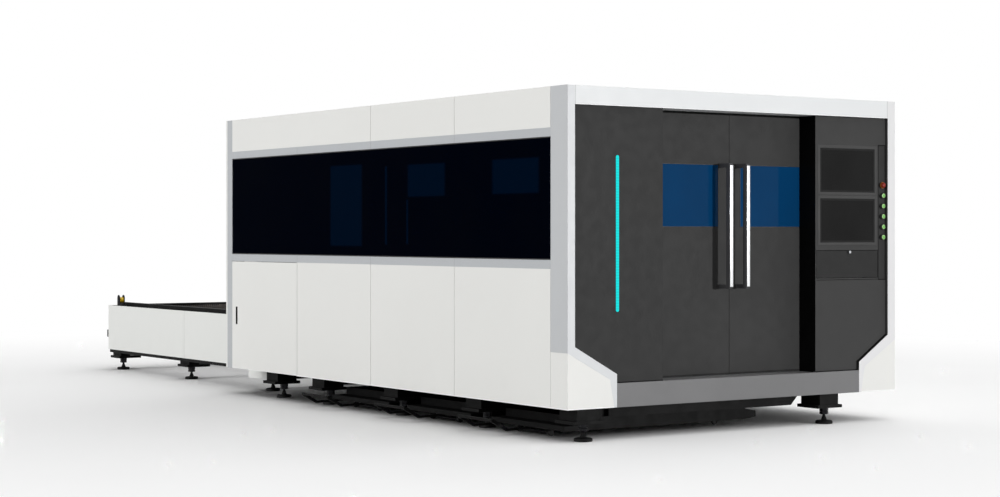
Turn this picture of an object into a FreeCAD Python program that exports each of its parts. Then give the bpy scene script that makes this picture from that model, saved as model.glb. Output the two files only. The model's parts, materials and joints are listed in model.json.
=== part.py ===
import FreeCAD, Part
import math
import os

# Fully enclosed fibre laser cutting machine with an exchange table behind it.
# Local sizes run from the floor point below the front left corner of the cladding:
# x to the right, y to the rear, z up. Everything is in millimetres. Every piece is
# shifted on export, so that the origin lies on the floor below the middle of the machine.

# ------------------------------------------------------------------ enclosure
enclosure_width = 2680.0
enclosure_length = 4470.0
overall_height = 2100.0
skirt_height = 195.0            # floor to the lower edge of the cladding
sheet = 2.0                     # gauge of the folded covers
panel_depth = 30.0              # depth of a folded cover
panel_seam = 3.0                # joint between two covers
seat_gap = 0.3                  # clearance of a piece that slides or drops into place
running_fit = 0.05              # radial clearance of a pin or shaft in its bore
coarse_count = 12               # flats round a foot, a castor or a pallet wheel
fine_count = 16                 # flats round a button, a knob or a collar

# ------------------------------------------------------------------ front
trim_depth = 60.0
column_depth = 170.0
column_bottom = 528.0           # lower end of the corner columns on the sides
left_column_width = 54.0
right_column_width = 66.0
left_chamfer_run = 310.0        # the trims turn inward low down, to the sill
right_chamfer_run = 261.0
chamfer_low = 393.0
chamfer_high = 563.0
trim_band = 52.0                # width of the slanting band of the trims
trim_band_drop = 31.0           # the band's lower corner below its upper one
trim_foot_width = 20.0
header_height = 112.0
header_bottom = overall_height - header_height
sill_top = 338.0
sill_depth = 280.0
fascia_setback = 20.0           # the dark faces lie behind the trims
fascia_depth = 25.0
fascia_right = 729.0
fascia_return_depth = 140.0
led_x = 382.0
led_width = 21.0
led_bottom = 762.0
led_top = header_bottom - 292.0
led_proud = 3.0

# ------------------------------------------------------------------ control cabinet
cabinet_width = 629.0
cabinet_left = enclosure_width - right_column_width - cabinet_width
cabinet_depth = 150.0
cabinet_wall = 3.0
cabinet_margin = 4.0            # shadow gap round the cabinet's face
cabinet_plinth_setback = 20.0
screen_left = cabinet_left + 41.0
screen_width = 487.0
screen_height = 285.0
screen_bottoms = (header_bottom - 817.0, header_bottom - 491.0)
screen_bezel = 12.0
screen_recess = 3.0
monitor_depth = 38.0
drawer_left = cabinet_left + 8.0
drawer_right = drawer_left + 550.0
drawer_bottom = header_bottom - 1048.0
drawer_top = drawer_bottom + 181.0
drawer_tray_depth = 118.0
drawer_tray_height = 60.0
drawer_side_gap = 6.0           # front plate's edge to the tray's side
slide_height = 30.0
keyboard_size = (430.0, 100.0, 18.0)
knob_x = cabinet_left + 294.0
knob_z = drawer_top - 13.0
knob_radius = 9.0
knob_length = 16.0
knob_stem_radius = 4.0
lock_cam = (24.0, 12.0, 3.0)     # reach, width and thickness of the catch behind the drawer's front
lock_clearance = 1.0            # between the catch and the plate that it turns behind
strip_left = cabinet_left + 563.0
strip_bottom = header_bottom - 1060.0
strip_top = header_bottom - 180.0
strip_setback = 8.0             # the button strip lies deeper than the cabinet's face
strip_depth = 14.0
button_x = strip_left + 38.0
button_radius = 15.0
button_collar_radius = 19.0
button_collar_length = 12.0
button_proud = 9.0
button_travel = 4.0
button_stem_radius = 8.0
button_pitch = 68.2
button_heights = tuple(header_bottom - 510.0 - button_pitch * i for i in range(5))
stop_height = button_heights[0] + 69.5
stop_base_radius = 21.0
stop_base_length = 10.0
stop_head_radius = 18.0
stop_head_length = 12.0

# ------------------------------------------------------------------ sliding doors
door_face = 195.0               # front plane of the two leaves
door_thickness = 28.0
door_seam = 3.0
door_left_lap = 21.5            # a closed leaf's outer edge behind the fascia
door_right_lap = 125.5          # and behind the cabinet
door_leaf_width = (cabinet_left - fascia_right + door_left_lap + door_right_lap - door_seam) / 2
door_seam_x = fascia_right - door_left_lap + door_leaf_width + door_seam / 2
door_clearance = 6.0            # above the lower track and below the upper one
window_top = header_bottom - 325.0
window_bottom = window_top - 393.0
window_seam_inset = 90.0
window_outer_inset = 80.0
window_thickness = 6.0
handle_offset = 70.0            # handle's middle from the seam
handle_width = 28.0
handle_blade = 35.0
handle_standoff = 104.0
handle_top = header_bottom - 318.0
handle_bottom = handle_top - 788.0
handle_arm = 26.0
track_height = 12.0
track_wall = 3.0

# ------------------------------------------------------------------ side cladding
side_bays = 4
lower_panel_top = 1019.0
rail_height = 53.0
glass_top = overall_height - 296.0
glass_thickness = 6.0
glass_inset = 5.0
rear_trim_width = 80.0
rear_trim_depth = 60.0
rear_wall_depth = 22.0
side_end = enclosure_length - rear_wall_depth - rear_trim_width
pull_width = 30.0
pull_bottom = 536.0
pull_top = 670.0
pull_inset = 60.0               # from the door's free edge to the slot's nearer side
pull_depth = 16.0
service_door_depth = 26.0       # shallower than the covers, so that its inner edge swings free
service_door_seam = 4.0
pivot_inset = 8.0               # pivot's axis from the hinge edge and from the outer face
pivot_radius = 5.0
pivot_lug = 3.0                 # thickness of the lug that carries the lower pivot

# ------------------------------------------------------------------ frame of the enclosure
post = 50.0
post_wall = 3.0

# ------------------------------------------------------------------ machine bed
bed_left = 80.0
bed_right = enclosure_width - 500.0
bed_centre = (bed_left + bed_right) / 2
bed_beam_width = 160.0
foot_gauge = bed_right - bed_left - bed_beam_width
bed_beam_top = 660.0
bed_front = 285.0
bed_rear = enclosure_length - 85.0
bed_wall = 12.0
cross_beam_height = 126.0
cross_beam_width = 120.0
cross_beam_bottom = 134.0
cross_beam_chamfer = 60.0
beam_notch = (295.0, 52.0, 120.0, 30.0)    # left edge, width, height and depth, in the front beam
foot_first = 63.0
foot_last = enclosure_length - 650.0
foot_last_pitch = 712.0
foot_pitch = (foot_last - foot_last_pitch - foot_first) / 3
foot_rows = tuple(foot_first + foot_pitch * i for i in range(4)) + (foot_last,)
foot_plate_x = 210.0
foot_plate_y = 196.0
foot_plate_front = 58.0         # from the foot's axis to the plate's front edge
foot_plate_bottom = 104.0
foot_plate_thickness = 20.0
foot_box_inset = 10.0
pad_radius = 56.0
pad_rim = 18.0
pad_neck = (20.0, 50.0)         # radius of the neck on the pad, and its upper end
stem_radius = 10.0
nut_size = 30.0                 # corner radius of the hexagon
nut_bottom = 61.0

# ------------------------------------------------------------------ gantry and head
linear_rail_width = 24.0
linear_rail_height = 20.0
gantry_bottom = 700.0
gantry_rest_y = 600.0
gantry_depth = 240.0
gantry_height = 210.0
gantry_travel = bed_rear - gantry_rest_y - gantry_depth - 45.0
gantry_wall = 8.0
block_length = 90.0
block_width = 60.0
block_lift = 4.0
guide_depth = 14.0
guide_height = 24.0
guide_inset = 30.0
end_stop = 20.0                 # spare length of a rail past the travel
carriage_overhang = 160.0       # the carriage plate stands above the beam
carriage_width = 300.0
carriage_thickness = 60.0
carriage_rest_x = 300.0
carriage_side_gap = 140.0        # from the right rail, at the end of the travel
carriage_travel = (bed_centre + foot_gauge / 2 - carriage_side_gap - carriage_width
                   - carriage_rest_x)
head_width = 110.0
head_depth = 90.0
head_bottom = 705.0
head_height = 420.0

# ------------------------------------------------------------------ exchange table and pallets
table_length = 3015.0
table_end = enclosure_length + table_length
table_left = 300.0
table_right = 2 * bed_centre - table_left
table_panel_top = 579.0
table_panel_bottom = 180.0
table_seam_from_rear = 1410.0
table_front = enclosure_length - 130.0     # the lower tubes run on below the enclosure
table_foot_rows = (enclosure_length - 50.0, enclosure_length + table_seam_from_rear + 20.0,
                   table_end - 155.0)
table_post_rows = (enclosure_length + 120.0,) + table_foot_rows[1:]
apron_end = enclosure_length + 214.0       # covers the lower tube's front length
apron_bottom = 92.0
table_foot_inset = 80.0
table_plate_margin = 65.0       # foot's axis to the plate's outer edge
table_box_width = 90.0
table_tube = 60.0
table_rail_bottom = 154.0
pallet_length = table_length - 75.0
pallet_rest_y = enclosure_length + 30.0
pallet_travel = pallet_length + 380.0
pallet_side_inset = 85.0        # table panel's outer face to the pallet's side beam
pallet_beam_width = 50.0
pallet_beam_height = 100.0
pallet_top = 607.0
pallet_drop = 122.0             # the second pallet runs this much lower
pallet_wall = 4.0
wheel_radius = 25.0
wheel_width = 20.0
wheel_drop = 72.0               # pallet's top to the wheels' axis
wheels_per_side = 5
running_gap = 0.5
rail_thickness = 6.0
rail_gap_at_gate = 40.0
slat_pitch = 122.0
slat_thickness = 4.0
slat_height = 84.0
slat_below_top = 36.0           # the tips stay below the side beams' top
tooth_pitch = 116.0
tooth_depth = 22.0

# ------------------------------------------------------------------ rear gate
gate_left = 340.0
gate_right = 2 * bed_centre - gate_left
opening_bottom = 340.0
opening_top = 760.0
gate_height = 450.0
gate_thickness = 20.0
gate_lift = 30.0                # raised gate's lower edge above the opening
gate_plane = enclosure_length - 50.0   # rear face of the gate
gate_overlap = 20.0

# ------------------------------------------------------------------ stop roller on the table
roller_y = table_end - 223.0
roller_z = 632.0
roller_radius = 19.0
roller_length = 40.0
roller_bore = 6.0
roller_side_gap = 2.0           # table's outer face to the bracket
bracket_wall = 5.0
bracket_height = 98.0

# ------------------------------------------------------------------ scrap trolleys
trolley_count = 3
trolley_front = 210.0           # front side of the first tub
trolley_pitch = foot_pitch
trolley_width = foot_pitch - 235.0
trolley_left = 130.0
trolley_right = 1645.0
trolley_bottom = 46.0
trolley_top = 127.0
trolley_wall = 3.0
toe_length = 110.0              # low toe in front of the tub's left wall
toe_top = 77.0
prow_low_run = 115.0            # the prow slopes up from the tub's bottom
prow_high_run = 148.0           # and back again to its upper edge
prow_foot = 59.0
prow_head = 97.0
castor_radius = 20.0
castor_width = 18.0
castor_inset = 55.0             # wheel axis from the tub's left end, and a third of it from its prow
castor_front = 213.0            # first wheel from the tub's front side
castor_track = trolley_width - 450.0
axle_radius = 6.0
bearing_wall = 5.0
bearing_width = 8.0
bearing_offset = 14.0           # wheel's middle to the bearing
grip_reach = 140.0              # the grip stands out past the cladding
grip_height = 105.0
grip_bar = 16.0
grip_width = 375.0
grip_front = trolley_width - grip_width - 25.0   # from the tub's front side
grip_foot = 26.0                # the arms' height above the floor at their knee
grip_knee = 25.0                # the knee stands out past the cladding
grip_root = 170.0               # length of the arms below the tub

V = FreeCAD.Vector
EXPORT_SHIFT = V(-(enclosure_width - grip_reach) / 2, -(enclosure_length + table_length) / 2, 0)


# ------------------------------------------------------------------ shape helpers
def block(x0, x1, y0, y1, z0, z1):
    """A block between two opposite corners."""
    return Part.makeBox(x1 - x0, y1 - y0, z1 - z0, V(x0, y0, z0))


def tube(x0, x1, y0, y1, z0, z1, wall, along):
    """A rectangular hollow section, open at both ends, that runs along one axis."""
    grow = {axis: (1.0 if axis == along else -wall) for axis in "xyz"}
    core = block(x0 - grow["x"], x1 + grow["x"], y0 - grow["y"], y1 + grow["y"],
                 z0 - grow["z"], z1 + grow["z"])
    return block(x0, x1, y0, y1, z0, z1).cut(core)


def tray(x0, x1, y0, y1, z0, z1, open_side, wall=sheet):
    """A folded cover: a face with four edges turned back, open towards open_side."""
    low = {"x": x0 + wall, "y": y0 + wall, "z": z0 + wall}
    high = {"x": x1 - wall, "y": y1 - wall, "z": z1 - wall}
    axis = open_side[1]
    if open_side[0] == "+":
        high[axis] += 2 * wall
    else:
        low[axis] -= 2 * wall
    core = block(low["x"], high["x"], low["y"], high["y"], low["z"], high["z"])
    return block(x0, x1, y0, y1, z0, z1).cut(core)


def outline(points):
    """A flat face through 3D points."""
    return Part.Face(Part.makePolygon([V(*p) for p in points + points[:1]]))


def prism_y(points, y0, y1):
    """An outline in x and z, extruded along y."""
    return outline([(x, y0, z) for x, z in points]).extrude(V(0, y1 - y0, 0))


def prism_x(points, x0, x1):
    """An outline in y and z, extruded along x."""
    return outline([(x0, y, z) for y, z in points]).extrude(V(x1 - x0, 0, 0))


def rod(x, y, z, radius, length, direction):
    """A round bar from a point along a direction."""
    return Part.makeCylinder(radius, length, V(x, y, z), V(*direction))


def flats(profile, place, direction, sides):
    """A round piece made of flats: radius and height pairs along an axis through place."""
    turn = FreeCAD.Rotation(V(0, 0, 1), V(*direction))
    angles = [2 * math.pi * i / sides for i in range(sides)]
    rings = [[V(*place) + turn.multVec(V(r * math.cos(a), r * math.sin(a), h)) for a in angles]
             for r, h in profile]
    faces = []
    for i, (radius, _) in enumerate(profile):
        following = (i + 1) % len(profile)
        if radius == 0 and profile[following][0] == 0:
            continue
        ring, after = rings[i], rings[following]
        if radius == 0 or profile[following][0] == 0:
            edge = after if radius == 0 else ring
            faces.append(Part.Face(Part.makePolygon(edge + edge[:1])))
            continue
        for k in range(sides):
            m = (k + 1) % sides
            faces.append(Part.Face(Part.makePolygon([ring[k], ring[m], after[m], after[k],
                                                     ring[k]])))
    solid = Part.makeSolid(Part.makeShell(faces))
    if solid.Volume < 0:
        solid.reverse()
    return solid.removeSplitter()


def peg(x, y, z, radius, length, direction, sides):
    """A straight round piece made of flats, from a point along a direction."""
    profile = [(0, 0), (radius, 0), (radius, length), (0, length)]
    return flats(profile, (x, y, z), direction, sides)


def round_outside(radius, sides):
    """The corner radius of a bore made of flats that clears a shaft of the given radius."""
    return radius / math.cos(math.pi / sides)


def mirrored_x(shape, middle):
    """The mirror image of a shape on the other side of the plane x = middle."""
    return shape.mirror(V(middle, 0, 0), V(1, 0, 0))


def save(name, solids):
    """Write the solids of one node, shifted to the machine's origin."""
    shape = Part.makeCompound([s.copy() for s in solids]) if len(solids) > 1 else solids[0].copy()
    shape.translate(EXPORT_SHIFT)
    shape.exportStep(f"parts/{name}.step")


# ------------------------------------------------------------------ bed, feet and rails
def bed_side_beam(centre_x):
    """A box beam with a low toe at the front, open at its rear end."""
    x0 = centre_x - bed_beam_width / 2
    x1 = centre_x + bed_beam_width / 2
    toe_top = sill_top - sheet
    profile = [(trim_depth, skirt_height), (bed_rear, skirt_height), (bed_rear, bed_beam_top),
               (bed_front, bed_beam_top), (bed_front, toe_top), (trim_depth, toe_top)]
    core = block(x0 + bed_wall, x1 - bed_wall, bed_front + bed_wall, bed_rear + 1,
                 skirt_height + bed_wall, bed_beam_top - bed_wall)
    return prism_x(profile, x0, x1).cut(core)


def foot_bracket(y, plate_left, box_left, box_right, top):
    """The plate that a levelling foot screws into, with the box that carries the frame."""
    front = y - foot_plate_front
    plate_top = foot_plate_bottom + foot_plate_thickness
    plate = block(plate_left, plate_left + foot_plate_x, front, front + foot_plate_y,
                  foot_plate_bottom, plate_top)
    box = block(box_left, box_right, front + foot_box_inset,
                front + foot_plate_y - foot_box_inset, plate_top, top)
    return plate.fuse(box).removeSplitter()


def cross_beams():
    """The beams that tie the bed's two sides together; the front one is cut back on its right."""
    x0 = bed_centre - foot_gauge / 2 + bed_beam_width / 2
    x1 = bed_centre + foot_gauge / 2 - bed_beam_width / 2
    low = cross_beam_bottom
    high = low + cross_beam_height
    front = prism_y([(x0, low), (x1 - 3.5 * cross_beam_chamfer, low),
                     (x1 - 2.5 * cross_beam_chamfer, low + cross_beam_chamfer),
                     (x1, low + cross_beam_chamfer), (x1, high), (x0, high)],
                    trim_depth, trim_depth + cross_beam_width)
    notch_left, notch_width, notch_height, notch_depth = beam_notch
    beams = [front.cut(block(notch_left, notch_left + notch_width, trim_depth - 1,
                             trim_depth + notch_depth, high - notch_height, high + 1))]
    for row in foot_rows[1:]:
        beams.append(tube(x0, x1, row, row + cross_beam_width, low, high, bed_wall, "x"))
    return beams


def levelling_foot(x, y):
    """A round pad on a threaded stem, with a hexagon nut under the plate."""
    neck_radius, neck_top = pad_neck
    pad = flats([(0, 0), (pad_radius, 0), (pad_radius, pad_rim), (neck_radius, pad_rim + 4),
                 (stem_radius, neck_top), (stem_radius, foot_plate_bottom),
                 (0, foot_plate_bottom)], (x, y, 0), (0, 0, 1), coarse_count)
    corners = [V(x + nut_size * math.cos(math.radians(60 * i)),
                 y + nut_size * math.sin(math.radians(60 * i)), nut_bottom) for i in range(6)]
    nut = Part.Face(Part.makePolygon(corners + corners[:1]))
    nut = nut.extrude(V(0, 0, foot_plate_bottom - nut_bottom))
    return pad.fuse(nut)


def foot_places():
    """Where the levelling feet stand, below the bed and below the table."""
    bed = [(bed_centre + side * foot_gauge / 2, y) for side in (-1, 1) for y in foot_rows]
    table = [(x, y) for x in (table_left + table_foot_inset, table_right - table_foot_inset)
             for y in table_foot_rows]
    return bed, table


def pallet_rail(y0, y1, outer_x, wheel_level, side):
    """An angle whose flat leg carries the pallet's wheels."""
    rail_top = wheel_level - wheel_radius - running_gap
    inner_x = table_left + pallet_side_inset - 3.0
    upright = (outer_x, outer_x + rail_thickness)
    flat = block(outer_x, inner_x, y0, y1, rail_top - rail_thickness, rail_top)
    leg = block(upright[0], upright[1], y0, y1, rail_top - 40, rail_top - rail_thickness)
    angle = flat.fuse(leg).removeSplitter()
    return angle if side < 0 else mirrored_x(angle, bed_centre)


def bed_group():
    """The bed, its feet, the gantry's rails and the pallets' rails."""
    bed_feet, table_feet = foot_places()
    beams = [bed_side_beam(bed_centre + side * foot_gauge / 2) for side in (-1, 1)]
    half = bed_beam_width / 2
    brackets = [foot_bracket(y, x - foot_plate_x / 2, x - half, x + half, skirt_height)
                for x, y in bed_feet]
    save("bed_frame", beams + cross_beams() + brackets)
    save("levelling_feet", [levelling_foot(x, y) for x, y in bed_feet + table_feet])

    rails = []
    for side in (-1, 1):
        x = bed_centre + side * foot_gauge / 2
        rails.append(block(x - linear_rail_width / 2, x + linear_rail_width / 2, bed_front,
                           gantry_rest_y + gantry_travel + gantry_depth + end_stop,
                           bed_beam_top, bed_beam_top + linear_rail_height))
    save("gantry_rails", rails)

    upper = pallet_top - wheel_drop
    bed_face = bed_centre - foot_gauge / 2 + bed_beam_width / 2
    table_face = table_left + sheet + table_tube / 2
    gap_front = gate_plane - gate_thickness - rail_gap_at_gate
    saved = []
    for side in (-1, 1):
        for level in (upper, upper - pallet_drop):
            saved.append(pallet_rail(bed_front + 400, gap_front, bed_face, level, side))
            saved.append(pallet_rail(pallet_rest_y - 10, table_end - panel_depth, table_face,
                                     level, side))
    save("pallet_rails", saved)


# ------------------------------------------------------------------ enclosure
def side_seams():
    """Where the side covers meet, from the front column to the rear trim."""
    pitch = (side_end - column_depth) / side_bays
    return [column_depth + pitch * i for i in range(side_bays + 1)]


def both_sides(shapes):
    """The left side's shapes together with their mirror images on the right."""
    return shapes + [mirrored_x(s, enclosure_width / 2) for s in shapes]


def enclosure_frame():
    """Posts, long rails and cross rails of square tube behind the covers."""
    x0 = panel_depth
    x1 = x0 + post
    top = overall_height - panel_depth
    low_rail = tube(x0, x1, column_depth, side_end, skirt_height, skirt_height + post,
                    post_wall, "y")
    high_rail = tube(x0, x1, column_depth, side_end, top - post, top, post_wall, "y")
    pieces = both_sides([low_rail, high_rail])
    for seam in side_seams():
        y0 = min(seam, side_end - post)
        y0 = max(y0 - post / 2, column_depth) if seam < side_end else y0
        pieces += both_sides([tube(x0, x1, y0, y0 + post, skirt_height + post, top - post,
                                   post_wall, "z")])
        pieces.append(tube(x1, enclosure_width - x1, y0, y0 + post, top - post, top,
                           post_wall, "x"))
    for row in foot_rows[1:]:
        pieces.append(tube(bed_right, enclosure_width - x1, row, row + post, skirt_height,
                           skirt_height + post, post_wall, "x"))
    lug = pivot_lug_plate(left_door_start())
    return pieces + [lug, mirrored_x(pivot_lug_plate(right_door_start()), enclosure_width / 2)]


def pivot_lug_plate(door_start):
    """The lug under the lower rail that a service door's lower pivot turns in."""
    y = door_start + pivot_inset
    half = 2 * pivot_radius
    plate = block(pivot_inset - pivot_radius - 2, panel_depth + post, y - half, y + half,
                  skirt_height - pivot_lug, skirt_height)
    return plate.cut(peg(pivot_inset, y, skirt_height - pivot_lug - 1,
                         round_outside(pivot_radius + running_fit, coarse_count), pivot_lug + 2,
                         (0, 0, 1), coarse_count))


def folded_front(points):
    """A sheet bent back round a front outline, as its skin and the hollow behind it."""
    face = outline([(x, 0, z) for x, z in points])
    skin = face.extrude(V(0, trim_depth, 0))
    inner = face.makeOffset2D(-sheet)
    inner.translate(V(0, sheet, 0))
    return skin, inner.extrude(V(0, trim_depth, 0))


def front_trim(column_width, chamfer_run):
    """The light trim of the left corner: a column that turns inward and down to the sill."""
    knee = column_width + chamfer_run
    skin, hollow = folded_front(
        [(0, overall_height), (column_width, overall_height), (column_width, chamfer_high),
         (knee, chamfer_low), (knee, skirt_height), (knee - trim_foot_width, skirt_height),
         (knee - trim_band, chamfer_low - trim_band_drop), (0, column_bottom)])
    column = block(0, column_width, trim_depth, column_depth, column_bottom, overall_height)
    inside = block(sheet, column_width - sheet, trim_depth - 1, column_depth - sheet,
                   column_bottom + sheet, overall_height - sheet)
    return skin.fuse(column).cut(hollow).cut(inside).removeSplitter()


def corner_block(column_width, chamfer_run):
    """The white cover below the slanting trim: folded round the corner, open underneath."""
    knee = column_width + chamfer_run
    skin, hollow = folded_front(
        [(0, column_bottom), (knee - trim_band, chamfer_low - trim_band_drop),
         (knee - trim_foot_width, skirt_height), (0, skirt_height)])
    side = block(0, panel_depth, trim_depth, column_depth, skirt_height, column_bottom)
    inside = block(sheet, panel_depth + 1, trim_depth - 1, column_depth - sheet,
                   skirt_height + sheet, column_bottom - sheet)
    underside = block(sheet, knee - trim_band, sheet, trim_depth + 1, skirt_height - 1,
                      skirt_height + sheet + 1)
    return skin.fuse(side).cut(hollow).cut(inside).cut(underside).removeSplitter()


def front_group():
    """Trims, corner blocks, header, sill, fascia and light strip."""
    middle = enclosure_width / 2
    right = enclosure_width - right_column_width
    save("front_left_trim", [front_trim(left_column_width, left_chamfer_run)])
    save("front_right_trim",
         [mirrored_x(front_trim(right_column_width, right_chamfer_run), middle)])
    save("front_corner_blocks",
         [corner_block(left_column_width, left_chamfer_run),
          mirrored_x(corner_block(right_column_width, right_chamfer_run), middle)])
    save("front_header", [tray(left_column_width, right, 0, column_depth, header_bottom,
                               overall_height, "+y")])
    sill_left = left_column_width + left_chamfer_run
    sill_right = enclosure_width - right_column_width - right_chamfer_run
    sill = tray(sill_left, sill_right, 0, sill_depth, skirt_height, sill_top, "-z")
    save("front_sill", [sill.cut(block(sill_left - 1, sill_right + 1, panel_depth,
                                       sill_depth + 1, skirt_height - 1, sill_top - sheet))])

    y0 = fascia_setback
    y1 = y0 + fascia_depth
    edge = [(left_column_width, header_bottom), (fascia_right, header_bottom),
            (fascia_right, sill_top), (sill_left, sill_top), (sill_left, chamfer_low),
            (left_column_width, chamfer_high)]
    plate = prism_y(edge, y0, y0 + sheet)
    fold_right = block(fascia_right - sheet, fascia_right, y0, fascia_return_depth, sill_top,
                       header_bottom)
    fold_top = block(left_column_width, fascia_right, y0, y1, header_bottom - sheet,
                     header_bottom)
    fascia = plate.fuse([fold_right, fold_top]).removeSplitter()
    save("left_fascia", [fascia.cut(led_bar(led_width / 2 + seat_gap, y0 - 1, y0 + sheet + 1))])
    save("led_strip", [led_bar(led_width / 2, y0 - led_proud, y1)])


def led_bar(half_width, y0, y1):
    """An upright bar with round ends."""
    low = led_bottom + led_width / 2
    high = led_top - led_width / 2
    bar = block(led_x - half_width, led_x + half_width, y0, y1, low, high)
    ends = [rod(led_x, y0, z, half_width, y1 - y0, (0, 1, 0)) for z in (low, high)]
    return bar.fuse(ends).removeSplitter()


# ------------------------------------------------------------------ control cabinet
def cabinet_shell():
    """The cabinet's folded shell with the cut-outs for screens, drawer and buttons."""
    right = enclosure_width - right_column_width
    knee = right - right_chamfer_run
    m = cabinet_margin
    edge = [(cabinet_left, header_bottom - m), (right - m, header_bottom - m),
            (right - m, chamfer_high + m), (knee - m, chamfer_low + m), (knee - m, sill_top + m),
            (cabinet_left, sill_top + m)]
    y0 = fascia_setback
    y1 = y0 + cabinet_depth
    w = cabinet_wall
    shell = prism_y(edge, y0, y0 + w)
    shell = shell.fuse([block(cabinet_left, cabinet_left + w, y0, y1, sill_top + m,
                              header_bottom - m),
                        block(right - m - w, right - m, y0, y1, chamfer_high + m,
                              header_bottom - m),
                        block(cabinet_left, right - m, y0, y1, header_bottom - m - w,
                              header_bottom - m),
                        block(cabinet_left, knee - m, y0, y1, sill_top + m, sill_top + m + w),
                        block(cabinet_left, knee - m, y0 + cabinet_plinth_setback, y1, sill_top,
                              sill_top + m)])
    for low in screen_bottoms:
        shell = shell.cut(block(screen_left, screen_left + screen_width, y0 - 1, y0 + w + 1,
                                low, low + screen_height))
    shell = shell.cut(block(drawer_left, drawer_right, y0 - 1, y0 + w + 1, drawer_bottom,
                            drawer_top))
    shell = shell.cut(block(strip_left, right, y0 - 1, strip_front() + strip_depth + seat_gap,
                            strip_bottom, strip_top))
    inset = panel_seam + drawer_side_gap - seat_gap
    for x0, x1 in ((cabinet_left + w, drawer_left + inset), (drawer_right - inset, strip_left)):
        shell = shell.fuse(block(x0, x1, y0 + w, y0 + drawer_tray_depth,
                                 drawer_bottom + slide_height / 2,
                                 drawer_bottom + 1.5 * slide_height))
    return shell.removeSplitter()


def monitor(low):
    """A flat monitor in its cut-out, with the screen sunk into a narrow bezel."""
    x0 = screen_left + seat_gap
    x1 = screen_left + screen_width - seat_gap
    z0 = low + seat_gap
    z1 = low + screen_height - seat_gap
    body = block(x0, x1, fascia_setback, fascia_setback + monitor_depth, z0, z1)
    recess = block(x0 + screen_bezel, x1 - screen_bezel, fascia_setback - 1,
                   fascia_setback + screen_recess, z0 + screen_bezel, z1 - screen_bezel)
    return body.cut(recess)


def strip_front():
    """The y of the button strip's face."""
    return fascia_setback + strip_setback


def button_strip():
    """The sunken strip with a collar for each button and a hole for each stem."""
    right = enclosure_width - right_column_width
    y0 = strip_front()
    strip = tray(strip_left + seat_gap, right - seat_gap, y0, y0 + strip_depth,
                 strip_bottom + seat_gap, strip_top - seat_gap, "+y", cabinet_wall)
    for z in button_heights:
        collar = peg(button_x, y0 - button_collar_length, z, button_collar_radius,
                     button_collar_length, (0, 1, 0), fine_count)
        well = peg(button_x, y0 - button_collar_length - 1, z,
                   round_outside(button_radius + seat_gap, fine_count), button_collar_length + 1,
                   (0, 1, 0), fine_count)
        strip = strip.fuse(collar).cut(well)
    for z in button_heights + (stop_height,):
        strip = strip.cut(peg(button_x, y0 - 1, z,
                              round_outside(button_stem_radius + seat_gap, fine_count), strip_depth,
                              (0, 1, 0), fine_count))
    return strip.removeSplitter()


def green_button(z):
    """A domed cap on a stem, pushed in along y."""
    y0 = strip_front()
    cap_front = -(button_collar_length + button_proud)
    cap_back = -(button_travel + seat_gap)
    profile = [(0, cap_front), (button_radius - 4, cap_front), (button_radius, cap_front + 3),
               (button_radius, cap_back), (button_stem_radius, cap_back),
               (button_stem_radius, cabinet_wall + 3), (0, cabinet_wall + 3)]
    return flats(profile, (button_x, y0, z), (0, 1, 0), fine_count)


def emergency_stop():
    """The yellow base and the red mushroom head with its stem."""
    y0 = strip_front()
    bore = round_outside(button_stem_radius + seat_gap, fine_count)
    base = flats([(bore, -stop_base_length), (stop_base_radius - 3, -stop_base_length),
                  (stop_base_radius, 0), (bore, 0)], (button_x, y0, stop_height), (0, 1, 0), fine_count)
    back = -(stop_base_length + button_travel + seat_gap)
    front = back - stop_head_length
    profile = [(0, front), (stop_head_radius * 0.6, front), (stop_head_radius, front + 5),
               (stop_head_radius, back), (button_stem_radius, back),
               (button_stem_radius, cabinet_wall + 3), (0, cabinet_wall + 3)]
    return base, flats(profile, (button_x, y0, stop_height), (0, 1, 0), fine_count)


def cabinet_group():
    """The control cabinet with its screens, buttons and keyboard drawer."""
    save("control_cabinet", [cabinet_shell()])
    save("monitors", [monitor(low) for low in screen_bottoms])
    save("button_strip", [button_strip()])
    base, head = emergency_stop()
    save("emergency_stop_base", [base])
    save("emergency_stop_button", [head])
    for number, z in enumerate(button_heights, start=1):
        save(f"green_button_{number}", [green_button(z)])

    y0 = fascia_setback
    x0 = drawer_left + panel_seam
    x1 = drawer_right - panel_seam
    z0 = drawer_bottom + panel_seam
    z1 = drawer_top - panel_seam
    front = block(x0, x1, y0, y0 + cabinet_wall, z0, z1)
    box = tray(x0 + drawer_side_gap, x1 - drawer_side_gap, y0 + cabinet_wall,
               y0 + drawer_tray_depth, z0, z0 + drawer_tray_height, "+z")
    stem_hole = rod(knob_x, y0 - 1, knob_z, knob_stem_radius + running_fit, cabinet_wall + 2,
                    (0, 1, 0))
    save("keyboard_drawer", [front.fuse(box).cut(stem_hole).removeSplitter()])
    middle = (x0 + x1) / 2
    width, depth, height = keyboard_size
    floor = z0 + sheet
    back = y0 + cabinet_wall + sheet + 4
    save("keyboard", [prism_x([(back, floor), (back + depth, floor),
                               (back + depth, floor + height), (back, floor + height / 2)],
                              middle - width / 2, middle + width / 2)])
    save("drawer_lock", drawer_lock())


def drawer_lock():
    """A round knob with its stem through the drawer's front, and the cam behind, turned level."""
    y0 = fascia_setback
    back = cabinet_wall + lock_clearance
    reach, width, thickness = lock_cam
    knob = flats([(0, -knob_length), (knob_radius - 2, -knob_length),
                  (knob_radius, -knob_length + 2), (knob_radius, -knob_length / 2),
                  (knob_stem_radius + 2, -seat_gap), (knob_stem_radius, -seat_gap),
                  (knob_stem_radius, back), (0, back)], (knob_x, y0, knob_z), (0, 1, 0), fine_count)
    cam = block(knob_x - width / 2, knob_x + reach, y0 + back, y0 + back + thickness,
                knob_z - width / 2, knob_z + width / 2)
    return [knob, cam]


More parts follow.
